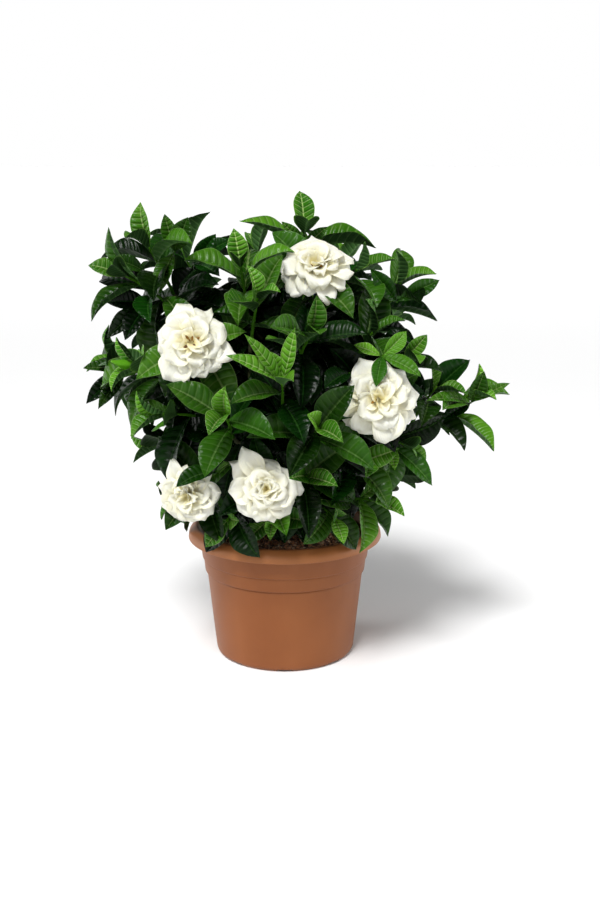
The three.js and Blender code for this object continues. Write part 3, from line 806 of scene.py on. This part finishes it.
def midrib(form, t):
    """The midrib's points and the blade's normals there: an arc of `curl` radians that bends away
    from the upper face."""
    turn = np.asarray(form["curl"] * t)[..., None]
    reach = form["length"] / form["curl"]
    centre = form["root"] + reach * (np.sin(turn) * form["along"] - (1 - np.cos(turn)) * form["up"])
    return centre, np.cos(turn) * form["up"] + np.sin(turn) * form["along"]


def grown_leaves(s):
    """The leaves that the solid of shoot s has, found by their tips among its corners."""
    data = frame["nodes"][f"leafy_shoot_{s + 1:02d}"].data
    corners = np.empty(len(data.vertices) * 3, np.float32)
    data.vertices.foreach_get("co", corners)
    corners = corners.reshape(-1, 3) / MM
    _, _, pairs, _, extra = SHOOTS[s]
    whorls = range(1, pairs + 1) if "bloom" in extra else range(pairs)
    found = []
    for w, k in [(w, k) for w in whorls for k in (0, 1)]:
        forms = [shoot_leaf(s, w, k, bend) for bend in BENDS]
        tips = np.array([midrib(form, 1.0)[0] for form in forms])
        miss = np.linalg.norm(corners[:, None] - tips, axis=2).min(axis=0)
        if miss.min() < TIP_MISS:
            found.append((w, k, forms[int(miss.argmin())]))
    return found


leaves = [grown_leaves(s) for s in range(len(SHOOTS))]
print(sum(map(len, leaves)), "leaves stand where the solids have them")

# %% The leaf's surface
VEINS = 9
VEIN_RISE = 0.17
COLUMNS = np.array([-1, -0.82, -0.56, -0.3, -0.1, 0, 0.1, 0.3, 0.56, 0.82, 1])
FEW_COLUMNS = np.array([-1, -0.7, -0.35, 0, 0.35, 0.7, 1])


def ring_columns(columns):
    """Places round a thin blade: over its upper face from edge to edge, and back under it. The
    second array is 1 on the lower face."""
    s = np.concatenate([columns, columns[-2:0:-1]])
    return s[None, :], np.concatenate([0 * columns, 0 * columns[-2:0:-1] + 1])[None, :]


def blade_points(form, centre, normal, wide, s, lift):
    """Points across a blade: centre + s * wide * cos(cup) sideways + lift along its face, with the
    blade turned by `roll` about its own length."""
    side = np.cross(form["along"], form["up"])
    flat = np.cos(form["roll"]) * side + np.sin(form["roll"]) * normal
    face = np.cos(form["roll"]) * normal - np.sin(form["roll"]) * side
    return centre + (s * wide * np.cos(form["cup"]))[..., None] * flat + lift[..., None] * face


def with_ends(first, ring, last):
    """One point, the rings' points and one point, in the order that tube_faces expects."""
    return np.concatenate([[first], ring.reshape(-1, np.shape(ring)[-1]), [last]])


def triples(*values):
    """Three arrays or numbers as one array of rows of three."""
    return np.stack(np.broadcast_arrays(*values), -1)


def leaf_surface(form, young, luck_and_shade, rows=3, columns=COLUMNS):
    """Point (q, s) of a leaf, with q along it and s from -1 to 1 across it. It lies at t = q +
    VEIN_RISE * |s|^1.2 * (1 - q) * (1 - e^(-6q)) along the midrib, so that a row of one q runs out
    and forward as a side vein does. Its height over the midrib is the sum of the halves' rise, a
    wave along the margin, a groove at the midrib, and puffs |sin(pi * VEINS * q)|^0.8 between the
    veins. The lower face is a thin skin below, with a raised midrib."""
    q = (np.arange(1, VEINS * rows) / (VEINS * rows))[:, None]
    s, under = ring_columns(columns)
    out = np.abs(s)
    t = q + VEIN_RISE * out**1.2 * (1 - q) * (1 - np.exp(-6 * q))
    centre, normal = midrib(form, t)
    centre = centre - (form["hook"] * np.clip((t - 0.6) / 0.4, 0, 1) ** 2)[..., None] * normal
    share = leaf_profile(t)
    wide = form["half"] * share
    way = np.sign(s)
    lift = wide * np.sin(form["cup"]) * out**0.9 + 0.07 * wide * np.sin(np.pi * out)
    lift = lift + form["wave"] * s**2 * np.sin(form["phase"] + 5 * t * way + way)
    puff = np.abs(np.sin(np.pi * VEINS * q)) ** 0.8 - 0.35
    lift = lift + (0.013 + 0.018 * young) * form["length"] * share * puff * np.sin(np.pi * out**0.85) ** 0.7
    lift = lift + 0.045 * wide * s**4 * np.sin(2 * form["phase"] + 15 * t + 2 * way)
    lift = lift - 0.5 * np.exp(-((s / 0.08) ** 2)) * (1 - t)
    lift = lift - under * (0.5 * (1 - s**4) + 0.9 * np.exp(-((s / 0.1) ** 2)) * (1 - 0.8 * t))
    ring = blade_points(form, centre, normal, wide, s, lift)
    tip, tip_normal = midrib(form, 1.0)
    points = with_ends(form["root"], ring, tip - form["hook"] * tip_normal)
    shape = with_ends([0, 0, 0], triples(s, t, under), [0, 1, 0])
    vein = with_ends([0, young, luck_and_shade], triples(VEINS * q, young, luck_and_shade + 0 * s), [VEINS, young, luck_and_shade])
    return points, *tube_faces(len(q), s.size), shape, vein


# %% The leaf's finish
def glossy_leaf():
    """Deep green and shiny above, paler and dull below. Veins, midrib and margin are lighter, most of
    all on a young leaf, which is yellow-green. A random tone makes some leaves lighter, and a painted
    shade makes the leaves deep in the plant darker."""
    f = Finish("glossy_leaf")
    aside, along, under = f.values("leaf")
    number, young, luck_and_shade = f.values("vein")
    out = aside.abs()
    cloud = f.noise(60, 3)
    beside = ((number + 0.5).fraction() - 0.5).abs()
    vein = beside.step(0.16, 0.03) * out.step(1.0, 0.8)
    middle = out.step(0.11, 0.03)
    margin = out.step(0.93, 1.0)
    # painted shade: a leaf's lightness is a random tone times a painted shade that is darkest deep in the
    # plant
    old_tone = f.mix(luck_and_shade, (0.0003, 0.0022, 0.0002), (0.005, 0.05, 0.002))
    new_tone = f.mix(luck_and_shade, (0.030, 0.15, 0.005), (0.13, 0.36, 0.015))
    tone = f.mix(young, old_tone, new_tone)
    pale = f.mix(young, f.mix(luck_and_shade, (0.001, 0.010, 0.0006), (0.018, 0.105, 0.007)), (0.18, 0.40, 0.03))
    tone = f.mix(cloud.step(0.4, 0.75) * 0.4, tone, pale)
    line_tone = f.mix(young, f.mix(luck_and_shade, (0.006, 0.030, 0.004), (0.06, 0.18, 0.03)), (0.42, 0.60, 0.20))
    line = vein * (0.22 + 0.3 * young) + middle * (0.6 + 0.3 * young) + margin * (0.45 + 0.4 * young)
    line = line.step(0.0, 1.0)
    tone = f.mix(line, tone, line_tone)
    below = f.mix(luck_and_shade, (0.009, 0.030, 0.006), (0.045, 0.125, 0.028))
    below = f.mix((vein + middle).step(0.0, 1.6) * (0.3 + 0.7 * luck_and_shade), below, (0.10, 0.20, 0.06))
    tone = f.mix(under, tone, below)
    puff = beside.step(0.0, 0.4) * out.step(1.0, 0.7) * (0.4 + 0.7 * young)
    f.bump(puff + 0.15 * f.noise(1500, 3) + 0.25 * f.noise(420, 2), 0.0014, 0.6)
    rough = 0.18 + 0.1 * cloud + 0.3 * under
    return f.done(Base_Color=tone, Roughness=rough, Specular_IOR_Level=0.12)


glossy = glossy_leaf()

# %% [markdown]
# ## Leafy shoots
#
# A shoot is its green stem and its pairs of leaves, as the solids have them. It ends in a young tip,
# in a rolled bud, or in the ribbed calyx and narrow sepals that a bloom sits in. Real twigs also keep
# older leaves further down. Those are added here, each only where it has room: fifteen points of it
# have to keep off the same points of every other leaf, off the blooms, the pot and the soil. Small
# side shoots, whose leaves are given between their two ends, fill out the loose places.

# %% Older leaves on the twigs
TWIG_PAIR_STEP = 10.5
LEAF_ROOM = 2.8
# How far from each bloom's middle the older leaves have to stay
BLOOM_ROOMS = [38.54, 38.95, 41.82, 36.08, 31.98]
bloom_shoots = [next(s for s, row in enumerate(SHOOTS) if row[4].get("bloom") == b) for b in range(5)]


def probes(form):
    """Fifteen points of a leaf: at five places along it, its middle and both halves."""
    t = np.array([0.25, 0.45, 0.65, 0.85, 1.0])[:, None]
    s = np.array([-0.6, 0.0, 0.6])[None, :]
    centre, normal = midrib(form, t + 0 * s)
    wide = form["half"] * leaf_profile(t) + 0 * s
    return blade_points(form, centre, normal, wide, s, np.abs(s) * wide * np.sin(form["cup"])).reshape(-1, 3)


def clear_of_pieces(points):
    """True if the points keep off the blooms, and off what lies in front of them, the pot and the soil,
    and stay inside the object's box."""
    low, high = np.array(cad_box) / MM
    if (points < low + 1).any() or (points > high - 1).any():
        return False
    r = np.hypot(points[:, 0], points[:, 1])
    if (points[:, 2] < 124).any() or ((points[:, 2] < 134) & (r > 72) & (r < 100)).any():
        return False
    for b, s in enumerate(bloom_shoots):
        axis = shoot_curves[s].way(1)
        offset = points - shoot_curves[s].at(1) - 12 * axis
        ahead = offset @ axis
        aside = np.linalg.norm(offset - ahead[:, None] * axis, axis=1)
        reach = BLOOM_ROOMS[b]
        if ((np.linalg.norm(offset, axis=1) < reach) | ((ahead > 0) & (aside < 0.9 * reach))).any():
            return False
    return True


taken = [probes(form) for found in leaves for _, _, form in found]


def older_leaves(s, curve, step, first):
    """Pairs of leaves down a curve from its end, each leaf at the first of a few turns with room."""
    length = float(np.linalg.norm(np.diff(curve.at(np.linspace(0, 1, 20)), axis=0), axis=1).sum())
    grown = []
    if "bare" in SHOOTS[s][4]:
        return grown
    for n in range(int(length // step)):
        at = 1 - (first + n * step) / length
        if at < 0.08:
            break
        for k in (0, 1):
            for turn_by, lean in ((0, 74), (28, 66), (-28, 66), (0, 52), (55, 70), (-55, 70)):
                turn = first_turn(s) + np.radians(90 * n + 180 * k + turn_by)
                length_k = SHOOTS[s][3] * (0.9 + 0.14 * spread(s, n, k + 200))
                form = leaf_form(curve, at, (s, n + 10, k), turn, np.radians(lean), length_k, 34)
                points = probes(form)
                gap = np.linalg.norm(np.concatenate(taken)[:, None] - points, axis=2).min()
                if gap > LEAF_ROOM and clear_of_pieces(points):
                    taken.append(points)
                    grown.append(form)
                    break
    return grown


def leaf_between(root, tip, face, half, bend):
    """A leaf given by its two ends, the way its upper face looks, its half width and how many degrees
    it bends between its ends."""
    root, tip = np.array(root, float), np.array(tip, float)
    chord = unit(tip - root)
    face = unit(np.array(face, float) - (np.array(face, float) @ chord) * chord)
    turn = np.radians(bend)
    form = {"root": root, "half": half, "curl": turn, "hook": 0.0, "roll": 0.0, "wave": 0.8, "cup": 0.45}
    form["along"] = np.cos(turn / 2) * chord + np.sin(turn / 2) * face
    form["up"] = np.cos(turn / 2) * face - np.sin(turn / 2) * chord
    form["length"] = np.linalg.norm(tip - root) * (turn / 2) / np.sin(turn / 2)
    form["phase"] = 6.28 * chance(root[0], tip[0], 5)
    return form


# Shoots between the others: the shoot whose stem each grows from, its own fork, and its leaves with
# their tip, face, half width, bend and youth
SIDE_SHOOTS = [
    (13, (86, -108, 313), [
        ((80, -131, 290), (0, -0.9, 0.5), 7.5, 50, 0.1), ((120, -114, 296), (0.2, -0.8, 0.8), 9, 40, 0.3),
        ((108, -100, 334), (0.2, -0.9, 0.1), 8, 24, 0.5), ((62, -104, 322), (-0.2, -0.7, 0.7), 6, 30, 0.7),
    ]),
    (2, (58, -106, 298), [((36, -126, 288), (-0.4, -0.9, 0.4), 11, 46, 0.0)]),
    (19, (-58, -114, 210), [
        ((-93, -134, 202), (0, -0.6, 0.9), 10, 60, 0.05), ((-46, -126, 222), (0.2, -0.7, 0.6), 5, 30, 0.5),
    ]),
    (6, (-99, -38, 398), [
        ((-86, -42, 429), (0.1, -0.9, 0.2), 11, 30, 0.15),
        ((-112, -60, 362), (-0.3, -0.9, 0.3), 10, 34, 0.3), ((-107, -42, 432), (0, -0.9, 0.2), 8, 20, 0.3),
    ]),
    (8, (-124, -46, 380), [((-154, -50, 393), (-0.1, -0.8, 0.6), 8, 30, 0.1)]),
    (29, (-150, -20, 284), [
        ((-188, -30, 289), (0, -0.6, 0.8), 8, 30, 0.2), ((-184, -44, 258), (0, -0.8, 0.5), 9, 40, 0.0),
        ((-172, -50, 254), (0, -0.9, 0.4), 8, 34, 0.1),
    ]),
    (11, (104, -36, 352), [
        ((78, -52, 384), (-0.1, -0.9, 0.3), 9, 30, 0.05), ((144, -26, 371), (0.2, -0.9, 0.4), 9, 30, 0.1),
    ]),
    (18, (176, -30, 256), [
        ((130, -62, 264), (0, -0.7, 0.8), 8, 40, 0.5), ((146, -52, 244), (0, -0.8, 0.6), 8, 34, 0.0),
        ((211, -36, 276), (0.1, -0.8, 0.6), 5.5, 36, 0.5), ((186, -40, 288), (0.1, -0.9, 0.2), 9, 20, 0.2),
    ]),
    (5, (19, -14, 400), [
        ((-2, -20, 424), (-0.1, -0.9, 0.4), 6.5, 30, 0.5), ((40, -20, 419), (0.2, -0.9, 0.4), 6.5, 30, 0.4),
    ]),
    (30, (-84, -14, 384), [
        ((-46, -24, 408), (0.1, -0.8, 0.6), 10, 44, 0.0), ((-58, -44, 376), (0.3, -0.8, 0.5), 10, 40, 0.0),
        ((-62, -24, 413), (0.2, -0.9, 0.3), 9, 30, 0.0),
    ]),
    (8, (-122, -50, 352), [
        ((-142, -74, 322), (-0.2, -0.9, 0.4), 11, 34, 0.0),
        ((-160, -56, 354), (-0.2, -0.8, 0.5), 11, 34, 0.0),
        ((-160, -60, 322), (-0.3, -0.9, 0.3), 10, 30, 0.05),
    ]),
    (15, (0, -146, 297), [
        ((-46, -168, 324), (0.3, -0.7, 0.7), 8.5, 20, 0.75),
        ((11, -156, 345), (-0.5, -0.8, 0.1), 8, -16, 0.8), ((-31, -158, 340), (0.6, -0.8, 0.1), 7, 14, 0.6),
    ]),
    (22, (98, -78, 226), [
        ((135, -92, 192), (0.3, -0.8, 0.6), 11, 34, 0.1), ((100, -98, 208), (0, -0.9, 0.4), 6, 20, 0.9),
    ]),
    (12, (10, -112, 318), [
        ((-14, -146, 334), (-0.4, -0.6, 0.7), 8, 26, 0.6), ((32, -150, 340), (0.4, -0.6, 0.7), 8, 26, 0.6),
    ]),
]  # fmt: skip
side_shoots = [
    (s, fork, [(leaf_between(fork, *row[:4]), row[4]) for row in rows]) for s, fork, rows in SIDE_SHOOTS
]
taken += [probes(form) for _, _, rows in side_shoots for form, _ in rows]
older = [older_leaves(s, curve, TWIG_PAIR_STEP, 6.0) for s, curve in enumerate(twig_curves)]
print(sum(map(len, older)), "older leaves on the twigs")


# %% Building the shoots
def plain_values(young):
    """Leaf values for a stem: no vein, no margin."""
    return {"leaf": (0.4, 0.5, 0.0), "vein": (0.5, young, 0.5)}


def stem_relief(t, u):
    """Low swellings where the leaves stand."""
    return sum(0.3 * np.exp(-(((t - at) / 0.025) ** 2)) for at, *_ in PAIRS) + 0 * u


def bud_twist(t, u):
    """The seams of rolled petals, winding round a bud."""
    return 0.10 * np.sin(3 * u + 8 * t)


def sepals(s):
    """The calyx behind a bloom: a ribbed green cup and six long narrow sepals under the petals."""
    curve = shoot_curves[s]
    end, way = curve.at(1), curve.way(1)
    u, v = across(way)
    cup = Bend(end - 2 * way, end + 5 * way, end + 11 * way)
    plain = plain_values(0.35)
    made = [(*tube(cup, [2.6, 3.6, 4.6, 5.2, 4.0], 18, 12, calyx_ribs), plain["leaf"], plain["vein"])]
    for k in range(6):
        turn = np.radians(60 * k + 12 * spread(s, k, 33))
        out = np.cos(turn) * u + np.sin(turn) * v
        root = end + 8 * way + 4.2 * out
        form = leaf_between(root, root + 24 * out - (4 + 5 * chance(s, k, 34)) * way, way, 2.1, 30)
        made.append(leaf_surface(form, 0.45, 0.6, 2, FEW_COLUMNS))
    return made


def calyx_ribs(t, u):
    """Six ribs that run down the calyx from its sepals."""
    return 0.12 * np.cos(6 * u) + 0 * t


def youth(s, w, k):
    """How young a leaf is, from 0 to 1: most at the tip of a shoot, and more on some shoots."""
    fresh = 0.3 * (chance(s, 3, 77) > 0.7)
    return float(np.clip((0.6, 0.15, 0.0, 0.0)[w] + fresh + 0.16 * spread(s, w, k + 70), 0, 1))


def outness_for_painted_shade(form):
    """How far out in the plant a leaf is, from 0.1 deep inside to 1. It sets a painted shade: the
    deeper a leaf sits, the darker it is painted.
    """
    middle, _ = midrib(form, 0.6)
    out = np.linalg.norm((middle - [10, 0, 250]) / [190, 160, 180])
    return float(np.clip((out - 0.45) / 0.5, 0.1, 1))


def add_leaf(sheaf, form, young, luck_and_shade, *detail):
    """Adds one leaf's surface, with what its finish reads, to a sheaf."""
    points, quads, triangles, shape, vein = leaf_surface(form, young, luck_and_shade, *detail)
    sheaf.add(points, quads, triangles, leaf=shape, vein=vein)


def leafy_shoot(s):
    """One mesh: the shoot's stem, the bud or calyx at its end, its leaves, its twig's older leaves and
    the side shoots that grow from it."""
    sheaf = Sheaf()
    curve, extra = shoot_curves[s], SHOOTS[s][4]
    radii = [1.7, 1.6, 1.6, 3.4] if "bloom" in extra else [1.7, 1.4, 1.0]
    sheaf.add(*tube(curve, radii, 9, 30, stem_relief), **plain_values(0.35))
    tip, way = curve.at(1), curve.way(1)
    if "bud" in extra:
        bud = Bend(curve.at(0.95), curve.at(0.95) + 15 * way, curve.at(0.95) + 30 * way)
        sheaf.add(*tube(bud, [1.2, 3.0, 4.4, 4.6, 3.6, 2.2, 0.8], 18, 26, bud_twist), **plain_values(1.0))
    elif "bloom" not in extra:
        young_tip = Bend(tip, tip + 3 * way, tip + 6 * way)
        sheaf.add(*tube(young_tip, [0.9, 1.5, 1.2, 0.3], 8, 8), **plain_values(0.9))
    for points, quads, triangles, shape, vein in sepals(s) if "bloom" in extra else []:
        sheaf.add(points, quads, triangles, leaf=shape, vein=vein)
    for w, k, form in leaves[s]:
        # painted shade: a leaf deeper in the plant is painted darker
        add_leaf(sheaf, form, youth(s, w, k), chance(s, w, k + 90) ** 2 * outness_for_painted_shade(form))
    for n, form in enumerate(older[s]):
        # painted shade: an older leaf deeper in the plant is painted darker
        luck_and_shade = 0.6 * chance(s, n, 91) ** 2 * outness_for_painted_shade(form)
        add_leaf(sheaf, form, 0.05 * luck_and_shade, luck_and_shade, 2, FEW_COLUMNS)
    for grown_from, fork, rows in side_shoots:
        if grown_from == s:
            near = curve.at(0.45)
            middle = 0.5 * (near + fork) + [0, 0, 4]
            sheaf.add(*tube(Bend(near, middle, fork), [1.2, 0.9, 0.9], 8, 16), **plain_values(0.35))
            for form, young in rows:
                add_leaf(sheaf, form, young, chance(s, *fork[:2]))
    name = f"leafy_shoot_{s + 1:02d}"
    dress(sheaf.mesh("foliage" + name[-3:], glossy, sharp=70), "leaf", name)


for number in range(len(SHOOTS)):
    leafy_shoot(number)

# %% [markdown]
# ## The blooms
#
# A double gardenia bloom is a ring of broad loose petals with a spiral of smaller ones inside, each
# turned about 137.5 degrees from the one before it and standing steeper. A petal is the leaf's idea again
# with other numbers: a rounded outline, a cupped middle, and a margin that ruffles and rolls back.
# The outer petals are set one by one, so that no two blooms are alike. Three blooms are open enough
# to show their stamens.

# %% The petals
# The outer petals of each bloom: turn round it, from its left over its top, angle from its axis,
# length, half width, curl, cup and how pointed it is
OUTER_PETALS = [
    [
        (88, 70, 31, 13, 16, 20, 0.3), (44, 76, 30, 13, 14, 24, 0.6), (-8, 82, 29, 14, 20, 18, 0.1),
        (-44, 84, 32, 10, 26, 20, 0.1), (-68, 72, 27, 13, 30, 34, 0.0), (246, 84, 35, 11, 22, 20, 0.3),
        (214, 78, 32, 11, 30, 24, 0.2), (187, 70, 34, 14, 34, 26, 0.1), (165, 78, 36, 10, 16, 30, 0.7),
        (138, 80, 29, 12, 20, 22, 0.2),
    ],
    [
        (67, 76, 35, 15, 16, 20, 0.1), (95, 70, 29, 13, 20, 24, 0.1), (116, 78, 33, 9, 34, 44, 0.2),
        (149, 74, 30, 14, 22, 22, 0.0), (194, 86, 39, 10, 10, 18, 1.0), (219, 78, 30, 13, 14, 18, 0.1),
        (248, 72, 30, 10, 24, 24, 0.1), (272, 66, 29, 12, 26, 26, 0.0), (280, 86, 38, 5, 20, 50, 0.4),
        (306, 76, 38, 15, 20, 22, 0.1), (345, 78, 31, 12, 26, 26, 0.2), (14, 74, 31, 13, 22, 24, 0.1),
    ],
    [
        (68, 80, 37, 13, 16, 22, 0.4), (96, 76, 34, 11, 20, 24, 0.1), (140, 76, 34, 14, 22, 22, 0.0),
        (177, 82, 38, 14, 14, 18, 0.1), (207, 86, 39, 13, 16, 20, 0.2), (232, 76, 37, 12, 22, 24, 0.1),
        (257, 68, 39, 16, 30, 30, 0.0), (304, 70, 34, 15, 30, 26, 0.0), (322, 84, 35, 11, 24, 24, 0.2),
        (353, 84, 36, 12, 18, 20, 0.1), (36, 72, 28, 11, 20, 26, 0.3),
    ],
    [
        (60, 74, 41, 12, 8, 30, 1.0), (36, 80, 38, 11, 14, 26, 0.9), (90, 66, 25, 13, 24, 26, 0.1),
        (142, 72, 24, 11, 24, 26, 0.1), (180, 80, 33, 10, 34, 22, 0.0), (230, 72, 30, 13, 30, 26, 0.1),
        (258, 76, 29, 12, 26, 24, 0.0), (286, 72, 30, 13, 28, 28, 0.1), (318, 76, 31, 13, 26, 24, 0.1),
        (357, 74, 32, 13, 24, 24, 0.2),
    ],
    [
        (12, 72, 28, 13, 24, 34, 0.1), (338, 66, 27, 13, 24, 36, 0.0), (300, 70, 27, 13, 26, 32, 0.1),
        (262, 66, 25, 13, 26, 36, 0.0), (216, 68, 26, 13, 26, 34, 0.1), (172, 72, 28, 13, 22, 30, 0.1),
        (127, 78, 31, 10, 18, 26, 0.4), (92, 70, 26, 12, 20, 28, 0.1), (62, 80, 34, 9, 12, 26, 0.7),
    ],
]  # fmt: skip
# Size, count of petals inside, and the angle of the innermost from the axis
BLOOMS = [(0.96, 13, 16), (0.97, 10, 34), (1.04, 11, 30), (0.92, 16, 4), (0.86, 13, 12)]
# How far out the stamens reach, as a factor, and how many there are, in the blooms that show them
STAMENS = {0: (0.9, 3), 1: (1.0, 7), 2: (1.5, 5)}
PETAL_COLUMNS = np.sin(np.linspace(-np.pi / 2, np.pi / 2, 15))
PETAL_ROWS = 22


def petal_profile(t, point):
    """Half-width along a petal as a share of the greatest: a power of a sine, widest near its end. A
    greater power makes the end more pointed."""
    return np.sin(np.pi * np.minimum(1, t) ** 1.5) ** (0.38 + 0.6 * point) * 0.97 + 0.03


def petal_form(bloom, n, row, rise):
    """One petal on the bloom's core, turned round the bloom's axis and leaned out from it."""
    turn, lean, length, half, curl, cup, point = row
    curve = shoot_curves[bloom_shoots[bloom]]
    axis = curve.way(1)
    u, v = across(axis)
    turn, away = np.radians(turn), np.radians(lean)
    radial = np.cos(turn) * u + np.sin(turn) * v
    return {
        "root": curve.at(1) + (JOINT_GAP + rise) * axis + 1.5 * radial,
        "along": np.cos(away) * axis + np.sin(away) * radial,
        "up": np.sin(away) * axis - np.cos(away) * radial,
        "length": length,
        "half": 1.06 * half,
        "curl": np.radians(curl + 6 * spread(bloom, n, 60)),
        "cup": np.radians(cup),
        "roll": np.radians(9 + 7 * spread(bloom, n, 70)),
        "wave": 1.4,
        "phase": 6.28 * chance(bloom, n, 80),
        "point": point,
    }


def spiral_petal(bloom, n):
    """Petal n of the spiral inside: smaller, steeper and more cupped with n."""
    size, count, last = BLOOMS[bloom]
    x = n / (count - 1)
    size = size * (1 + 0.08 * spread(bloom, n, 40))
    lean = 66 - (66 - last) * x**0.9 + 6 * spread(bloom, n, 50)
    turn = 60 * bloom + 137.5 * n + 12 * spread(bloom, n, 45)
    row = (turn, lean, size * (28 - 12 * x), size * (15 - 6 * x), 22 + 8 * x, 22 + 36 * x, 0.1)
    return petal_form(bloom, n, row, size * (12.5 + 4 * x))


def petal_surface(form, depth):
    """Point (t, s) of a petal: s * width sideways, and lifted by a round cup s^2, by one slow fold
    across it and by low ruffles near the margin. With r the distance from the petal's middle, where 1
    is about the margin, all beyond 0.7 rolls back by (r - 0.7)^2. The length waves with s, so that the
    end is not a plain arc."""
    t = (1 - (1 - np.arange(1, PETAL_ROWS + 1) / (PETAL_ROWS + 1)) ** 1.25)[:, None]
    s, under = ring_columns(PETAL_COLUMNS)
    phase, way, out = form["phase"], np.sign(s), np.abs(s)
    reach = t * (1 + 0.035 * t * np.sin(4 * s + 2 * phase) - 0.03 * t**3 * out**3)
    centre, normal = midrib(form, reach)
    wide = form["half"] * petal_profile(t, form["point"]) * (1 + 0.06 * np.sin(phase + 6 * t + 2 * way) * out)
    lift = wide * np.sin(form["cup"]) * s**2
    lift = lift + form["wave"] * s**2 * np.sin(phase + 5 * t * way + way)
    lift = lift + 0.09 * form["half"] * t * np.sin(2.4 * s + phase)
    lift = lift + 0.08 * form["half"] * out**3 * t**2 * np.sin(3 * phase + 11 * t + 2 * way)
    lift = lift + 0.05 * form["half"] * t**3 * np.sin(7 * s + 2.3 * phase)
    r = np.hypot(0.92 * s * np.minimum(1, 2 * t), np.maximum(0, (t - 0.4) / 0.6))
    lift = lift - 1.7 * form["half"] * np.maximum(0, r - 0.7) ** 2
    lift = lift - under * 0.75 * (1 - s**6) * (1 - 0.7 * t)
    ring = blade_points(form, centre, normal, wide, s, lift)
    end, end_normal = midrib(form, 1.0 + 0.035 * np.sin(2 * phase))
    rolled = 0.09 * np.sin(phase) + 0.05 * np.sin(2.3 * phase) - 1.7 * 0.3**2
    points = with_ends(form["root"], ring, end + form["half"] * rolled * end_normal)
    values = with_ends([0, 0, depth], triples(s, t, depth + 0 * s), [0, 1, depth])
    return points, *tube_faces(PETAL_ROWS, s.size), values


# %% The petals' finish
def petal_skin():
    """Cream white and satin, warmer towards the foot and the middle of the bloom, with faint long
    veins in the skin. Light goes a few millimetres through it. Stamens are brown."""
    f = Finish("petal_skin")
    aside, along, depth = f.values("petal")
    cloud = f.noise(90, 3)
    foot = along.step(0.9, 0.1) * (0.4 + 0.6 * depth)
    tone = f.mix(foot, (0.90, 0.885, 0.71), (0.89, 0.79, 0.38))
    tone = f.mix(cloud.step(0.45, 0.8) * 0.3, tone, (0.87, 0.83, 0.56))
    tone = f.mix(depth.step(1.2, 1.6), tone, f.mix(along, (0.42, 0.22, 0.04), (0.07, 0.028, 0.01)))
    lines = (aside * 38 + 2.0 * f.noise(40, 2)).sin() * 0.5 + 0.5
    f.bump(lines * 0.3 + f.noise(260, 3) + 1.4 * f.noise(110, 2), 0.0008, 0.55)
    return f.done(
        Base_Color=tone,
        Roughness=0.5,
        Specular_IOR_Level=0.3,
        Subsurface_Weight=0.4,
        Subsurface_Scale=1.0,
        Subsurface_Radius=(0.0045, 0.004, 0.0024),
    )


petal_finish = petal_skin()


def bloom_piece(bloom):
    """One mesh: the core, the outer petals, the spiral inside and the stamens."""
    sheaf = Sheaf()
    size, count, _ = BLOOMS[bloom]
    curve = shoot_curves[bloom_shoots[bloom]]
    axis = curve.way(1)
    base = curve.at(1) + JOINT_GAP * axis
    core = Bend(base, base + 8 * size * axis, base + 16 * size * axis)
    sheaf.add(*tube(core, [3, 4, 5.5, 4.5, 2.0], 14, 14), petal=(0, 0.1, 0.9))
    forms = [(petal_form(bloom, n, row, 11), 0.0) for n, row in enumerate(OUTER_PETALS[bloom])]
    forms += [(spiral_petal(bloom, n), 0.2 + 0.8 * n / count) for n in range(count)]
    for form, depth in forms:
        points, quads, triangles, values = petal_surface(form, depth)
        sheaf.add(points, quads, triangles, petal=values)
    reach, stamens = STAMENS.get(bloom, (1, 0))
    u, v = across(axis)
    for n in range(stamens):
        turn = 6.28 * n / stamens + spread(bloom, n, 7)
        out = np.cos(turn) * u + np.sin(turn) * v
        foot = base + 18 * axis + 2.2 * out
        anther = Bend(foot, foot + 3 * axis + 2 * reach * out, foot + 4 * axis + 6.5 * reach * out)
        sheaf.add(*tube(anther, [0.5, 0.8, 1.1, 1.2, 0.5], 7, 9), petal=(0, chance(bloom, n, 8), 2.0))
    dress(sheaf.mesh(f"bloom_petals_{bloom + 1}", petal_finish, sharp=75), "petal", f"bloom_{bloom + 1}")


for number in range(len(BLOOMS)):
    bloom_piece(number)

# %% Print the CAD box
print("CAD box", np.round(cad_box, 4).tolist())
